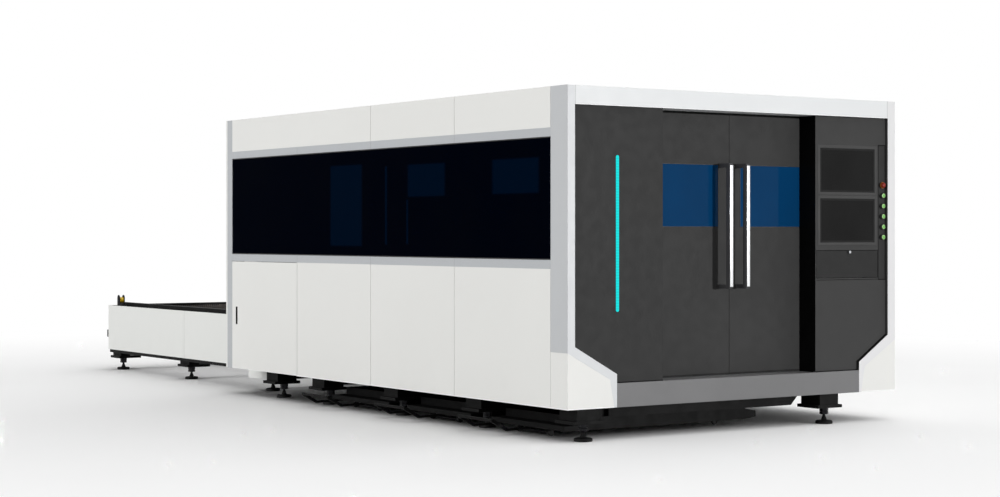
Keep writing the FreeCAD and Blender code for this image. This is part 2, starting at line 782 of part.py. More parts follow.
# ------------------------------------------------------------------ sliding doors
def door_height():
    """Lower and upper edge of the leaves, between the two tracks."""
    return sill_top + track_wall + seat_gap, header_bottom - door_clearance


def door_leaf(side):
    """One leaf with its window cut-out; side is -1 for the left leaf and 1 for the right."""
    near = door_seam_x + side * door_seam / 2
    far = near + side * door_leaf_width
    z0, z1 = door_height()
    x0, x1 = min(near, far), max(near, far)
    leaf = tray(x0, x1, door_face, door_face + door_thickness, z0, z1, "+y")
    a, b = window_span(side)
    return leaf.cut(block(a, b, door_face - 1, door_face + sheet + 1, window_bottom, window_top))


def window_span(side):
    """The x range of a leaf's window."""
    near = door_seam_x + side * window_seam_inset
    far = door_seam_x + side * (door_leaf_width - window_outer_inset)
    return min(near, far), max(near, far)


def door_window(side):
    """The pane, held in the leaf's cut-out with its edges behind the face."""
    a, b = window_span(side)
    lap = 15.0
    pane = block(a + seat_gap, b - seat_gap, door_face, door_face + sheet,
                 window_bottom + seat_gap, window_top - seat_gap)
    back = block(a - lap, b + lap, door_face + sheet, door_face + sheet + window_thickness,
                 window_bottom - lap, window_top + lap)
    return pane.fuse(back).removeSplitter()


def door_handle(side):
    """A tall C-shaped pull: a blade that stands on two arms."""
    x0 = door_seam_x + side * handle_offset - handle_width / 2
    x1 = x0 + handle_width
    front = door_face - handle_standoff
    profile = [(door_face, handle_bottom), (front + 12, handle_bottom), (front, handle_bottom + 12),
               (front, handle_top - 12), (front + 12, handle_top), (door_face, handle_top),
               (door_face, handle_top - handle_arm), (front + handle_blade, handle_top - handle_arm),
               (front + handle_blade, handle_bottom + handle_arm),
               (door_face, handle_bottom + handle_arm)]
    return prism_x(profile, x0, x1)


def door_tracks():
    """Channels that guide the leaves: one on the sill, one under the header."""
    x0 = panel_depth + post
    x1 = enclosure_width - x0
    y0 = door_face - track_wall - seat_gap
    y1 = door_face + door_thickness + track_wall + seat_gap
    sill_left = left_column_width + left_chamfer_run
    sill_right = enclosure_width - right_column_width - right_chamfer_run
    low = block(sill_left, sill_right, y0, y1, sill_top, sill_top + track_height)
    low = low.cut(block(sill_left - 1, sill_right + 1, y0 + track_wall, y1 - track_wall,
                        sill_top + track_wall, sill_top + track_height + 1))
    high = block(x0, x1, y0, y1, header_bottom - track_height,
                 overall_height - panel_depth - post)
    high = high.cut(block(x0 - 1, x1 + 1, y0 + track_wall, y1 - track_wall,
                          header_bottom - track_height - 1, header_bottom + track_wall))
    return [low, high]


def door_group():
    """The two sliding leaves with their windows and handles."""
    for name, side in (("left", -1), ("right", 1)):
        save(f"{name}_door_leaf", [door_leaf(side)])
        save(f"{name}_door_window", [door_window(side)])
        save(f"{name}_door_handle", [door_handle(side)])


# ------------------------------------------------------------------ side, roof and rear covers
def cover(y0, y1, z0, z1):
    """A folded cover of the left side."""
    return tray(0, panel_depth, y0, y1, z0, z1, "+x")


def left_door_start():
    """The hinge edge of the left service door, behind the last fixed cover."""
    return side_seams()[-2] - panel_seam / 2 + service_door_seam


def right_door_start():
    """The hinge edge of the right service door, behind the front column."""
    return column_depth + service_door_seam


def service_door(y0, y1):
    """A hinged lower cover with its sunken pull, and a pivot pin above and below."""
    z0 = skirt_height + panel_seam
    z1 = lower_panel_top - panel_seam
    door = tray(0, service_door_depth, y0, y1, z0, z1, "+x")
    slot_end = y1 - pull_inset
    well = block(0, pull_depth, slot_end - pull_width - sheet, slot_end + sheet,
                 pull_bottom - sheet, pull_top + sheet)
    door = door.fuse(well).cut(block(-1, pull_depth - sheet, slot_end - pull_width, slot_end,
                                     pull_bottom, pull_top))
    pivot_y = y0 + pivot_inset
    lower = rod(pivot_inset, pivot_y, skirt_height - pivot_lug, pivot_radius,
                panel_seam + pivot_lug + sheet, (0, 0, 1))
    upper = peg(pivot_inset, pivot_y, z1 - sheet, pivot_radius,
                2 * sheet + panel_seam + 1, (0, 0, 1), coarse_count)
    return door.fuse([lower, upper]).removeSplitter()


def side_group():
    """Covers, rails and glass of the two sides."""
    seams = side_seams()
    half = panel_seam / 2
    upper_low = glass_top + rail_height
    upper_cuts = [seams[0], seams[1], seams[2], seams[-1]]
    uppers = [cover(a + half, b - half, upper_low, overall_height)
              for a, b in zip(upper_cuts, upper_cuts[1:])]
    save("side_upper_panels", both_sides(uppers))
    bays = [cover(a + half, b - half, skirt_height, lower_panel_top)
            for a, b in zip(seams, seams[1:])]
    save("side_lower_panels",
         bays[:-1] + [mirrored_x(bay, enclosure_width / 2) for bay in bays[1:]])

    low_rail, high_rail = [tube(0, panel_depth, column_depth, side_end, z, z + rail_height,
                                sheet, "y") for z in (lower_panel_top, glass_top)]
    left_low = low_rail.cut(pivot_hole(left_door_start()))
    right_low = mirrored_x(low_rail.cut(pivot_hole(right_door_start())), enclosure_width / 2)
    corner = tube(0, rear_trim_depth, side_end, side_end + rear_trim_width, skirt_height,
                  overall_height, sheet, "z")
    save("side_trims", [left_low, right_low] + both_sides([high_rail, corner]))
    glass = block(glass_inset, glass_inset + glass_thickness, column_depth, side_end,
                  lower_panel_top + rail_height, glass_top)
    save("side_window_glass", both_sides([glass]))

    save("left_service_door", [service_door(left_door_start(), seams[-1] - half)])
    right_door = service_door(right_door_start(), seams[1] - half)
    save("right_service_door", [mirrored_x(right_door, enclosure_width / 2)])


def pivot_hole(door_start):
    """The hole for a service door's upper pivot, through the underside of the lower rail."""
    return peg(pivot_inset, door_start + pivot_inset, lower_panel_top - 1,
               round_outside(pivot_radius + running_fit, coarse_count), sheet + 2, (0, 0, 1), coarse_count)


def roof_panels():
    """Folded roof covers between the upper side covers."""
    seams = side_seams()
    half = panel_seam / 2
    z0 = overall_height - panel_depth
    covers = [tray(panel_depth, enclosure_width - panel_depth, a + half, b - half, z0,
                   overall_height, "-z") for a, b in zip(seams, seams[1:])]
    covers.append(tray(rear_trim_depth, enclosure_width - rear_trim_depth, side_end,
                       side_end + rear_trim_width, z0, overall_height, "-z"))
    return covers


def rear_wall():
    """The rear cover with the opening that the pallets pass through."""
    y0 = enclosure_length - rear_wall_depth
    wall = tray(0, enclosure_width, y0, enclosure_length, skirt_height, overall_height, "-y")
    return wall.cut(block(gate_left, gate_right, y0 - 1, enclosure_length + 1, opening_bottom,
                          opening_top))


def gate_guides():
    """Two channels that carry the rear gate on both sides of the opening."""
    y1 = enclosure_length - sheet
    y0 = gate_plane - gate_thickness - track_wall - seat_gap
    z0 = opening_bottom
    z1 = opening_top + gate_lift + gate_height
    edge = gate_left - gate_overlap
    body = block(edge - 15, edge + 15, y0, y1, z0, z1)
    slot = block(edge - seat_gap, edge + 16, gate_plane - gate_thickness - seat_gap,
                 gate_plane + seat_gap, z0 - 1, z1 + 1)
    guide = body.cut(slot)
    return [guide, mirrored_x(guide, (gate_left + gate_right) / 2)]


def rear_gate():
    """The lifting gate, drawn raised, a folded cover with two stiffening ribs."""
    z0 = opening_top + gate_lift
    x0 = gate_left - gate_overlap
    x1 = gate_right + gate_overlap
    y0 = gate_plane - gate_thickness
    gate = tray(x0, x1, y0, gate_plane, z0, z0 + gate_height, "-y")
    ribs = [block(x0 + sheet, x1 - sheet, y0, gate_plane - sheet, z0 + share * gate_height - 5,
                  z0 + share * gate_height + 5) for share in (1 / 3, 2 / 3)]
    return gate.fuse(ribs).removeSplitter()


def shell_group():
    """The enclosure's frame, roof, rear wall, tracks and gate."""
    save("enclosure_frame", enclosure_frame())
    save("roof_panels", roof_panels())
    save("rear_wall", [rear_wall()])
    save("sliding_tracks", door_tracks() + gate_guides())
    save("rear_gate", [rear_gate()])


# ------------------------------------------------------------------ gantry
def gantry_beam():
    """A box beam across the bed on two end blocks that straddle the linear rails."""
    rail_x = [bed_centre + side * foot_gauge / 2 for side in (-1, 1)]
    y0 = gantry_rest_y
    y1 = y0 + gantry_depth
    beam = tube(rail_x[0] - block_width, rail_x[1] + block_width, y0, y1, gantry_bottom,
                gantry_bottom + gantry_height, gantry_wall, "x")
    pieces = [beam]
    rail_top = bed_beam_top + linear_rail_height
    groove_half = linear_rail_width / 2 + seat_gap
    for x in rail_x:
        for y in (y0, y1 - block_length):
            saddle = block(x - block_width / 2, x + block_width / 2, y, y + block_length,
                           bed_beam_top + block_lift, gantry_bottom)
            groove = block(x - groove_half, x + groove_half, y - 1, y + block_length + 1,
                           bed_beam_top, rail_top + seat_gap)
            pieces.append(saddle.cut(groove))
    guide_left = carriage_rest_x - end_stop
    guide_right = carriage_rest_x + carriage_travel + carriage_width + end_stop
    for z in guide_levels():
        pieces.append(block(guide_left, guide_right, y0 - guide_depth, y0, z, z + guide_height))
    return pieces


def guide_levels():
    """The lower edges of the beam's two guides."""
    return (gantry_bottom + guide_inset,
            gantry_bottom + gantry_height - guide_inset - guide_height)


def head_carriage():
    """The plate that runs along the beam's two guides and carries the head's slide."""
    x0 = carriage_rest_x
    y1 = gantry_rest_y - seat_gap
    y0 = y1 - carriage_thickness
    plate = block(x0, x0 + carriage_width, y0, y1, gantry_bottom + block_lift,
                  gantry_bottom + gantry_height + carriage_overhang)
    for z in guide_levels():
        plate = plate.cut(block(x0 - 1, x0 + carriage_width + 1,
                                gantry_rest_y - guide_depth - seat_gap, y1 + 1, z - seat_gap,
                                z + guide_height + seat_gap))
    return plate


def cutting_head():
    """The head: a housing that steps down to a tapered nozzle."""
    x = carriage_rest_x + carriage_width / 2
    y1 = gantry_rest_y - seat_gap - carriage_thickness - seat_gap
    y = y1 - head_depth / 2
    neck = 34.0
    body = block(x - head_width / 2, x + head_width / 2, y1 - head_depth, y1,
                 head_bottom + 130, head_bottom + head_height)
    nozzle = flats([(0, 0), (5, 0), (neck / 2, 30), (neck / 2, 60), (neck, 70), (neck, 130),
                    (0, 130)], (x, y, head_bottom), (0, 0, 1), fine_count)
    return body.fuse(nozzle).removeSplitter()


def gantry_group():
    """The gantry, the carriage and the cutting head."""
    save("gantry_beam", gantry_beam())
    save("head_carriage", [head_carriage()])
    save("cutting_head", [cutting_head()])


# ------------------------------------------------------------------ exchange table and pallets
def table_frame():
    """Long tubes, posts and cross tubes of the table, with the plates over its feet."""
    x0 = table_left + sheet
    x1 = x0 + table_tube / 2
    y0 = enclosure_length + seat_gap
    y1 = table_end - panel_depth
    low = table_rail_bottom
    side = [tube(x0, x0 + table_tube, table_front, y1, low, low + 40, 4, "y"),
            tube(x0, x1, y0, y1, table_panel_top - 40, table_panel_top, 4, "y")]
    side += [tube(x0, x1, y, y + table_tube, low + 40, table_panel_top - 40, 4, "z")
             for y in table_post_rows]
    foot_x = table_left + table_foot_inset
    for y in table_foot_rows:
        side.append(foot_bracket(y, foot_x - table_plate_margin, foot_x - table_box_width / 2,
                                 foot_x + table_box_width / 2, low))
    pieces = side + [mirrored_x(s, bed_centre) for s in side]
    for y in table_post_rows:
        pieces.append(tube(x0 + table_tube, table_right - sheet - table_tube, y, y + table_tube,
                           low, low + 40, 4, "x"))
    return pieces


def stop_roller_bracket():
    """The arched bracket on the table's near corner, with the roller's pin across it."""
    half = bracket_wall + roller_length / 2
    x = table_left + half + roller_side_gap
    r = roller_radius + 8
    top = table_panel_top + bracket_height
    arch = block(x - half, x + half, roller_y - r, roller_y + r, table_panel_top, top - r)
    arch = arch.fuse(peg(x - half, roller_y, top - r, r, 2 * half, (1, 0, 0), fine_count))
    gap = roller_length / 2 + running_gap
    arch = arch.cut(block(x - gap, x + gap, roller_y - r - 1, roller_y + r + 1,
                          table_panel_top + bracket_wall, top + 1))
    pin = rod(x - half, roller_y, roller_z, roller_bore - running_fit, 2 * half, (1, 0, 0))
    return arch.fuse(pin).removeSplitter(), x


def table_panels():
    """The table's side covers in two lengths, the aprons near the enclosure and the end cover."""
    seam_y = enclosure_length + table_seam_from_rear
    inner = table_end - panel_depth
    spans = [(enclosure_length + seat_gap, seam_y - 1), (seam_y + 1, table_end)]
    side = [block(table_left, table_left + sheet, a, b, table_panel_bottom, table_panel_top)
            for a, b in spans]
    side.append(block(table_left, table_left + sheet, table_front, apron_end, apron_bottom,
                      table_panel_bottom))
    end = tray(table_left + sheet, table_right - sheet, inner, table_end, table_panel_bottom,
               table_panel_top, "-y")
    return side + [mirrored_x(s, bed_centre) for s in side] + [end]


def slat(y, x0, x1, top):
    """A thin upright strip with pointed teeth along its upper edge."""
    count = int((x1 - x0) // tooth_pitch)
    pitch = (x1 - x0) / count
    low = top - slat_height
    points = [(x0, low), (x1, low), (x1, top - tooth_depth)]
    for i in range(count):
        right = x1 - i * pitch
        points.append((right - pitch / 2, top))
        points.append((right - pitch, top - tooth_depth))
    return prism_y(points, y - slat_thickness / 2, y + slat_thickness / 2)


def pallet(y0, top):
    """A pallet: two side beams with wheels, two end beams and a row of toothed slats."""
    x0 = table_left + pallet_side_inset
    x1 = 2 * bed_centre - x0
    y1 = y0 + pallet_length
    low = top - pallet_beam_height
    w = pallet_beam_width
    axis_z = top - wheel_drop
    side = tube(x0, x0 + w, y0, y1, low, top, pallet_wall, "y")
    pieces = [side, mirrored_x(side, bed_centre)]
    ends = [tube(x0 + w, x1 - w, y, y + w, low, top - 20, pallet_wall, "x")
            for y in (y0, y1 - w)]
    pieces += ends
    first = y0 + 150
    step = (pallet_length - 300) / (wheels_per_side - 1)
    for i in range(wheels_per_side):
        wheel = peg(x0 - wheel_width, first + i * step, axis_z, wheel_radius, wheel_width,
                    (1, 0, 0), coarse_count)
        pieces += [wheel, mirrored_x(wheel, bed_centre)]
    count = int((pallet_length - 2 * w) // slat_pitch)
    margin = (pallet_length - 2 * w - (count - 1) * slat_pitch) / 2
    slats = [slat(y0 + w + margin + i * slat_pitch, x0 + w, x1 - w, top - slat_below_top)
             for i in range(count)]
    return pieces, slats


def table_group():
    """The exchange table, its stop roller and the two pallets."""
    bracket, roller_x = stop_roller_bracket()
    save("table_frame", table_frame() + [bracket])
    save("table_panels", table_panels())
    bore = round_outside(roller_bore, fine_count)
    roller = flats([(bore, 0), (roller_radius, 0), (roller_radius, roller_length),
                    (bore, roller_length)],
                   (roller_x - roller_length / 2, roller_y, roller_z), (1, 0, 0), fine_count)
    save("stop_roller", [roller])
    places = (("upper", pallet_rest_y, pallet_top),
              ("lower", pallet_rest_y - pallet_travel, pallet_top - pallet_drop))
    for name, y0, top in places:
        frame, slats = pallet(y0, top)
        save(f"{name}_pallet_frame", frame)
        save(f"{name}_pallet_slats", slats)


# ------------------------------------------------------------------ scrap trolleys
def trolley_tub(y0):
    """A long shallow tub with a low toe and a raked prow, its wheel forks and its handle."""
    y1 = y0 + trolley_width
    t = trolley_wall
    nose = trolley_right
    wall = trolley_left + toe_length
    profile = [(trolley_left, trolley_bottom), (nose - prow_low_run, trolley_bottom),
               (nose, prow_foot), (nose, prow_head), (nose - prow_high_run, trolley_top),
               (wall, trolley_top), (wall, toe_top), (trolley_left, toe_top)]
    inner = [(trolley_left + t, trolley_bottom + t), (nose - prow_low_run - 1, trolley_bottom + t),
             (nose - t, prow_foot + 2), (nose - t, prow_head - 1),
             (nose - prow_high_run, trolley_top + 1), (wall + t, trolley_top + 1),
             (wall + t, toe_top - t), (trolley_left + t, toe_top - t)]
    tub = prism_y(profile, y0, y1).cut(prism_y(inner, y0 + t, y1 - t))
    block_low = castor_radius - axle_radius - bearing_wall
    bore = round_outside(axle_radius + running_fit, coarse_count)
    for x in wheel_axes():
        for y in bearing_places(y0):
            bearing = block(x - axle_radius - bearing_wall, x + axle_radius + bearing_wall, y,
                            y + bearing_width, block_low, trolley_bottom)
            tub = tub.fuse(bearing).cut(peg(x, y - 1, castor_radius, bore, bearing_width + 2,
                                            (0, 1, 0), coarse_count))
    return tub.fuse(trolley_handle(y0)).removeSplitter()


def bearing_places(y0):
    """The y of the two bearing blocks of an axle, between its wheels."""
    first = y0 + castor_front + bearing_offset
    last = y0 + castor_front + castor_track - bearing_offset - bearing_width
    return first, last


def wheel_axes():
    """The x of a trolley's two axles."""
    return trolley_left + castor_inset, trolley_right - 3 * castor_inset


def trolley_handle(y0):
    """Two arms that dip from below the tub to a knee and rise out to a grip bar."""
    front = y0 + grip_front
    b = grip_bar
    end = trolley_left + grip_root
    arm = [(end, trolley_bottom), (end, trolley_bottom - b / 2), (-grip_knee, grip_foot),
           (-grip_reach, grip_height - b), (-grip_reach, grip_height),
           (-grip_reach + b, grip_height), (-grip_knee + b / 2, grip_foot + b),
           (trolley_left + castor_inset, trolley_bottom)]
    arms = [prism_y(arm, y, y + b) for y in (front, front + grip_width - b)]
    bar = block(-grip_reach, -grip_reach + b, front, front + grip_width, grip_height - b,
                grip_height)
    return bar.fuse(arms)


def wheelset(y0, x):
    """Two wheels on one round axle."""
    first = y0 + castor_front
    wheels = [peg(x, y - castor_width / 2, castor_radius, castor_radius, castor_width, (0, 1, 0),
                  coarse_count) for y in (first, first + castor_track)]
    return rod(x, first, castor_radius, axle_radius, castor_track, (0, 1, 0)).fuse(wheels)


def trolley_group():
    """The scrap trolleys in the bays between the bed's feet."""
    for i in range(trolley_count):
        y0 = trolley_front + i * trolley_pitch
        number = i + 1
        save(f"scrap_trolley_{number}", [trolley_tub(y0)])
        left, right = wheel_axes()
        save(f"trolley_{number}_left_wheels", [wheelset(y0, left)])
        save(f"trolley_{number}_right_wheels", [wheelset(y0, right)])


def main():
    """Build every group and write one file for each node."""
    os.makedirs("parts", exist_ok=True)
    bed_group()
    shell_group()
    front_group()
    cabinet_group()
    door_group()
    side_group()
    gantry_group()
    table_group()
    trolley_group()


main()
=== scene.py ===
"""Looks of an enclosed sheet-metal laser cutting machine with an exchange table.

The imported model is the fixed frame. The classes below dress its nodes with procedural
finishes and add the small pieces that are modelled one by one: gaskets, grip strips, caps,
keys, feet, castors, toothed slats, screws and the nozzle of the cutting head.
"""

import json
import logging
import math
from dataclasses import dataclass
from enum import Enum
from functools import cached_property, partial
from typing import Callable, Sequence

import bpy
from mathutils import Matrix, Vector

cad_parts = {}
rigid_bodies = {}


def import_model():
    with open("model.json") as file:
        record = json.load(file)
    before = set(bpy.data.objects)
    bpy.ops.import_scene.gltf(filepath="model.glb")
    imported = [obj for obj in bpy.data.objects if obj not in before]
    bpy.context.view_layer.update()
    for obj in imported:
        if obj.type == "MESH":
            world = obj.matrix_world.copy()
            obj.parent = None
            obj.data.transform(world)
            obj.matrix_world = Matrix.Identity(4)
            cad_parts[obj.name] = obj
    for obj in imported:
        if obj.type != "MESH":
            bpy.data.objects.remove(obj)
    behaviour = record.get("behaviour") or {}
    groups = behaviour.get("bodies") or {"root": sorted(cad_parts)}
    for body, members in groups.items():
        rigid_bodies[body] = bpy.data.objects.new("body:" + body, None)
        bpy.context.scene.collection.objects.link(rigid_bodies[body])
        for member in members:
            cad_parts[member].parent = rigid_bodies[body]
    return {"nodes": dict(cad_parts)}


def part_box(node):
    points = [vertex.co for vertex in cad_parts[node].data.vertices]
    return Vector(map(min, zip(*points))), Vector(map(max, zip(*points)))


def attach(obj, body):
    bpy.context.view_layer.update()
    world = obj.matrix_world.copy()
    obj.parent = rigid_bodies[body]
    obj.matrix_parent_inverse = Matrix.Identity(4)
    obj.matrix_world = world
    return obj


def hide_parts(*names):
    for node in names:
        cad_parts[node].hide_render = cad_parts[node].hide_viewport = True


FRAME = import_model()
log = logging.getLogger("laser_cutter")

Piece = bpy.types.Object
Point = tuple[float, float, float]
Place = Sequence[float]                     # a place or a move, in metres
Ink = tuple[int, int, int]                  # a display colour, each level 0 to 255
Profile = tuple[tuple[float, float], ...]   # a turned piece: radius and height in millimetres
Test = Callable[[Vector, Vector], bool]     # passes faces by their centre and normal

RIGHT, BACK, UP = Vector((1, 0, 0)), Vector((0, 1, 0)), Vector((0, 0, 1))
WHITE: Point = (1.0, 1.0, 1.0)
FLAT = 0.9                                  # least share of a normal that faces one way
MM = 0.001
SINK = 0.0001                               # how far a fitting sinks into what carries it
SIDES = ("left", "right")


def linear(colour: Ink) -> Point:
    """Turn a display colour into linear light.

    Args:
        colour: Its red, green and blue levels, 0 to 255.

    Returns:
        The three linear levels.
    """
    shares = [level / 255 for level in colour]
    return tuple(s / 12.92 if s <= 0.04045 else ((s + 0.055) / 1.055) ** 2.4 for s in shares)


def grey(level: int) -> Ink:
    """A neutral display colour."""
    return level, level, level


def mirrored(half: Profile, length: float) -> Profile:
    """A profile that ends as it began, over a length in millimetres."""
    return (*half, *((radius, length - height) for radius, height in reversed(half)))


class Op(Enum):
    """The Math operations that the finishes use."""

    ADD = "ADD"
    SUBTRACT = "SUBTRACT"
    MULTIPLY = "MULTIPLY"
    ABSOLUTE = "ABSOLUTE"
    LESS = "LESS_THAN"
    GREATER = "GREATER_THAN"
    PINGPONG = "PINGPONG"
    LARGEST = "MAXIMUM"


class Way(Enum):
    """The three directions of the frame, each by its index."""

    X = 0
    Y = 1
    Z = 2


class Link(Enum):
    """Whether a lamp's link takes its pieces in or leaves them out."""

    ONLY = "INCLUDE"
    NOT = "EXCLUDE"


class Role(Enum):
    """What a lamp's link decides about its pieces."""

    LIT = "receiver"
    SHADES = "blocker"


# ---- shader arithmetic
class Signal:
    """One output socket of a node tree, used in arithmetic like a number."""

    def __init__(self, tree: "Tree", socket: bpy.types.NodeSocket) -> None:
        """Wrap a socket of the tree."""
        self.tree, self.socket = tree, socket

    def _math(self, op: Op, other: "Level" = 0.0) -> "Signal":
        """Add one Math node for an operation on this and another level."""
        return self.tree.node("Math", {"operation": op.value}, {0: self, 1: other})

    def __add__(self, other: "Level") -> "Signal":
        """Sum."""
        return self._math(Op.ADD, other)

    def __sub__(self, other: "Level") -> "Signal":
        """Difference."""
        return self._math(Op.SUBTRACT, other)

    def __mul__(self, other: "Level") -> "Signal":
        """Product."""
        return self._math(Op.MULTIPLY, other)

    def __lt__(self, other: "Level") -> "Signal":
        """One where this is the smaller, else zero."""
        return self._math(Op.LESS, other)

    def __gt__(self, other: "Level") -> "Signal":
        """One where this is the larger, else zero."""
        return self._math(Op.GREATER, other)

    def __abs__(self) -> "Signal":
        """Size without sign."""
        return self._math(Op.ABSOLUTE)

    def fold(self, scale: float) -> "Signal":
        """Distance to the nearest even multiple of a length."""
        return self._math(Op.PINGPONG, scale)

    def largest(self, other: "Level") -> "Signal":
        """The larger of two levels."""
        return self._math(Op.LARGEST, other)

    def ease(self, low: float, high: float, start: float = 0.0, end: float = 1.0) -> "Signal":
        """Map the range low to high smoothly onto start to end, held at its ends."""
        return self.tree.node("MapRange", {"interpolation_type": "SMOOTHSTEP"},
                              {0: self, 1: low, 2: high, 3: start, 4: end})

    def about(self, middle: float, below: float, above: float) -> "Signal":
        """Map a noise onto the range about a middle."""
        return self.ease(0.3, 0.7, middle - below, middle + above)

    def axis(self, way: Way) -> "Signal":
        """One coordinate of a vector."""
        return self.tree.node("SeparateXYZ", {}, {0: self}, way.value)


Level = Signal | float
Colour = Signal | Point


class Tree:
    """The node tree of a material or a world."""

    def __init__(self, data: bpy.types.Material | bpy.types.World, output: str) -> None:
        """Start an empty tree with its output.

        Args:
            data: The material or world.
            output: Type of its output node.
        """
        data.use_nodes = True
        self.data = data
        self.nodes, self.links = data.node_tree.nodes, data.node_tree.links
        self.nodes.clear()
        self.output = self.nodes.new("ShaderNode" + output)

    def _feed(self, socket: bpy.types.NodeSocket, value: "Level | Colour") -> None:
        """Link or set one input.

        Args:
            socket: The input.
            value: A signal to link, or the value to set.
        """
        if isinstance(value, Signal):
            self.links.new(value.socket, socket)
        elif isinstance(value, tuple) and len(socket.default_value) == 4:
            socket.default_value = (*value, 1.0)
        else:
            socket.default_value = value

    def node(self, kind: str, settings: dict | None = None, inputs: dict | None = None,
             output: int = 0) -> Signal:
        """Add any shader node.

        Args:
            kind: The node's type.
            settings: Properties of the node, set before its sockets.
            inputs: Values or signals for its sockets, by index or name.
            output: Which output is returned.

        Returns:
            The chosen output.
        """
        made = self.nodes.new("ShaderNode" + kind)
        for key, value in (settings or {}).items():
            setattr(made, key, value)
        for key, value in (inputs or {}).items():
            self._feed(made.inputs[key], value)
        return Signal(self, made.outputs[output])

    def end(self, shader: Signal) -> None:
        """Send a shader to the output."""
        self.links.new(shader.socket, self.output.inputs[0])

    def seen(self) -> Signal:
        """One for rays that show the background: camera, mirror and see-through rays."""
        camera, mirror, through = (self.node("LightPath", output=i) for i in (0, 3, 6))
        return camera.largest(mirror).largest(through)


class Paint(Tree):
    """The node tree of one material, laid coat by coat on its Principled shader."""

    def __init__(self, name: str, base: Point = WHITE) -> None:
        """Start the material with its shader.

        Args:
            name: The material's name.
            base: Its first tone, in linear light.
        """
        super().__init__(bpy.data.materials.new(name), "OutputMaterial")
        self.shader = self.node("BsdfPrincipled")
        self.end(self.shader)
        self.place = self.node("TexCoord", output=3)
        self.height = self.place.axis(Way.Z)
        self.tone: Colour = base
        self.base = base

    def noise(self, scale: float, detail: float = 2.0, stretch: Point = WHITE) -> Signal:
        """Soft noise in the object, of about 0.3 to 0.7.

        Args:
            scale: Repeats per metre.
            detail: How fine it gets.
            stretch: How much denser it is along each axis.

        Returns:
            The noise.
        """
        place = self.place
        if stretch != WHITE:
            place = self.node("Mapping", {}, {0: place, 3: stretch})
        return self.node("TexNoise", {}, {"Vector": place, "Scale": scale, "Detail": detail})

    def mix(self, factor: Level, first: Colour, second: Colour) -> Signal:
        """Blend two colours."""
        return self.node("Mix", {"data_type": "RGBA", "clamp_factor": True},
                         {0: factor, 6: first, 7: second}, 2)

    def cover(self, factor: Level, colour: Colour) -> None:
        """Lay one more colour over the tone, as far as a mask says."""
        self.tone = self.mix(factor, self.tone, colour)

    def share(self, factor: float, lift: float = 0.0) -> Point:
        """The first tone made darker or lighter, at most white."""
        return tuple(min(1.0, level * factor + lift) for level in self.base)

    def normal(self) -> Signal:
        """The surface's own normal in the frame."""
        return self.node("NewGeometry", output=1)

    def soft_edge(self, radius: float) -> Signal:
        """Surface normal that is rounded over at the edges."""
        return self.node("Bevel", {"samples": 4}, {"Radius": radius})

    def edge_mask(self, radius: float) -> Signal:
        """One near sharp edges, zero on flats."""
        return self.node("VectorMath", {"operation": "DOT_PRODUCT"},
                         {0: self.soft_edge(radius), 1: self.normal()}, 1).ease(0.999, 0.9)

    def relief(self, height: Level, depth: float, edge: float = 0.0) -> None:
        """Emboss the surface.

        Args:
            height: The signal that is embossed.
            depth: How deep it goes.
            edge: Radius that edges are rounded by.
        """
        normal = {"Normal": self.soft_edge(edge)} if edge > 0 else {}
        self.set(Normal=self.node("Bump", {}, {"Strength": 1.0, "Distance": depth,
                                               "Height": height} | normal))

    def set(self, **sockets: "Level | Colour") -> None:
        """Feed sockets of the shader, named with underscores for spaces."""
        for key, value in sockets.items():
            self._feed(self.shader.socket.node.inputs[key.replace("_", " ")], value)


# ---- finishes
@dataclass(frozen=True)
class Finish:
    """A named finish for one of the model's material slots."""

    name: str
    slot: str
    colour: Ink

    def material(self) -> bpy.types.Material:
        """Make the material.

        Returns:
            The material, with its nodes laid by the finish.
        """
        paint = Paint(self.name, linear(self.colour))
        self.lay(paint)
        paint.set(Base_Color=paint.tone)
        return paint.data

    def lay(self, paint: Paint) -> None:
        """Lay the nodes of the finish on a paint."""
        raise NotImplementedError


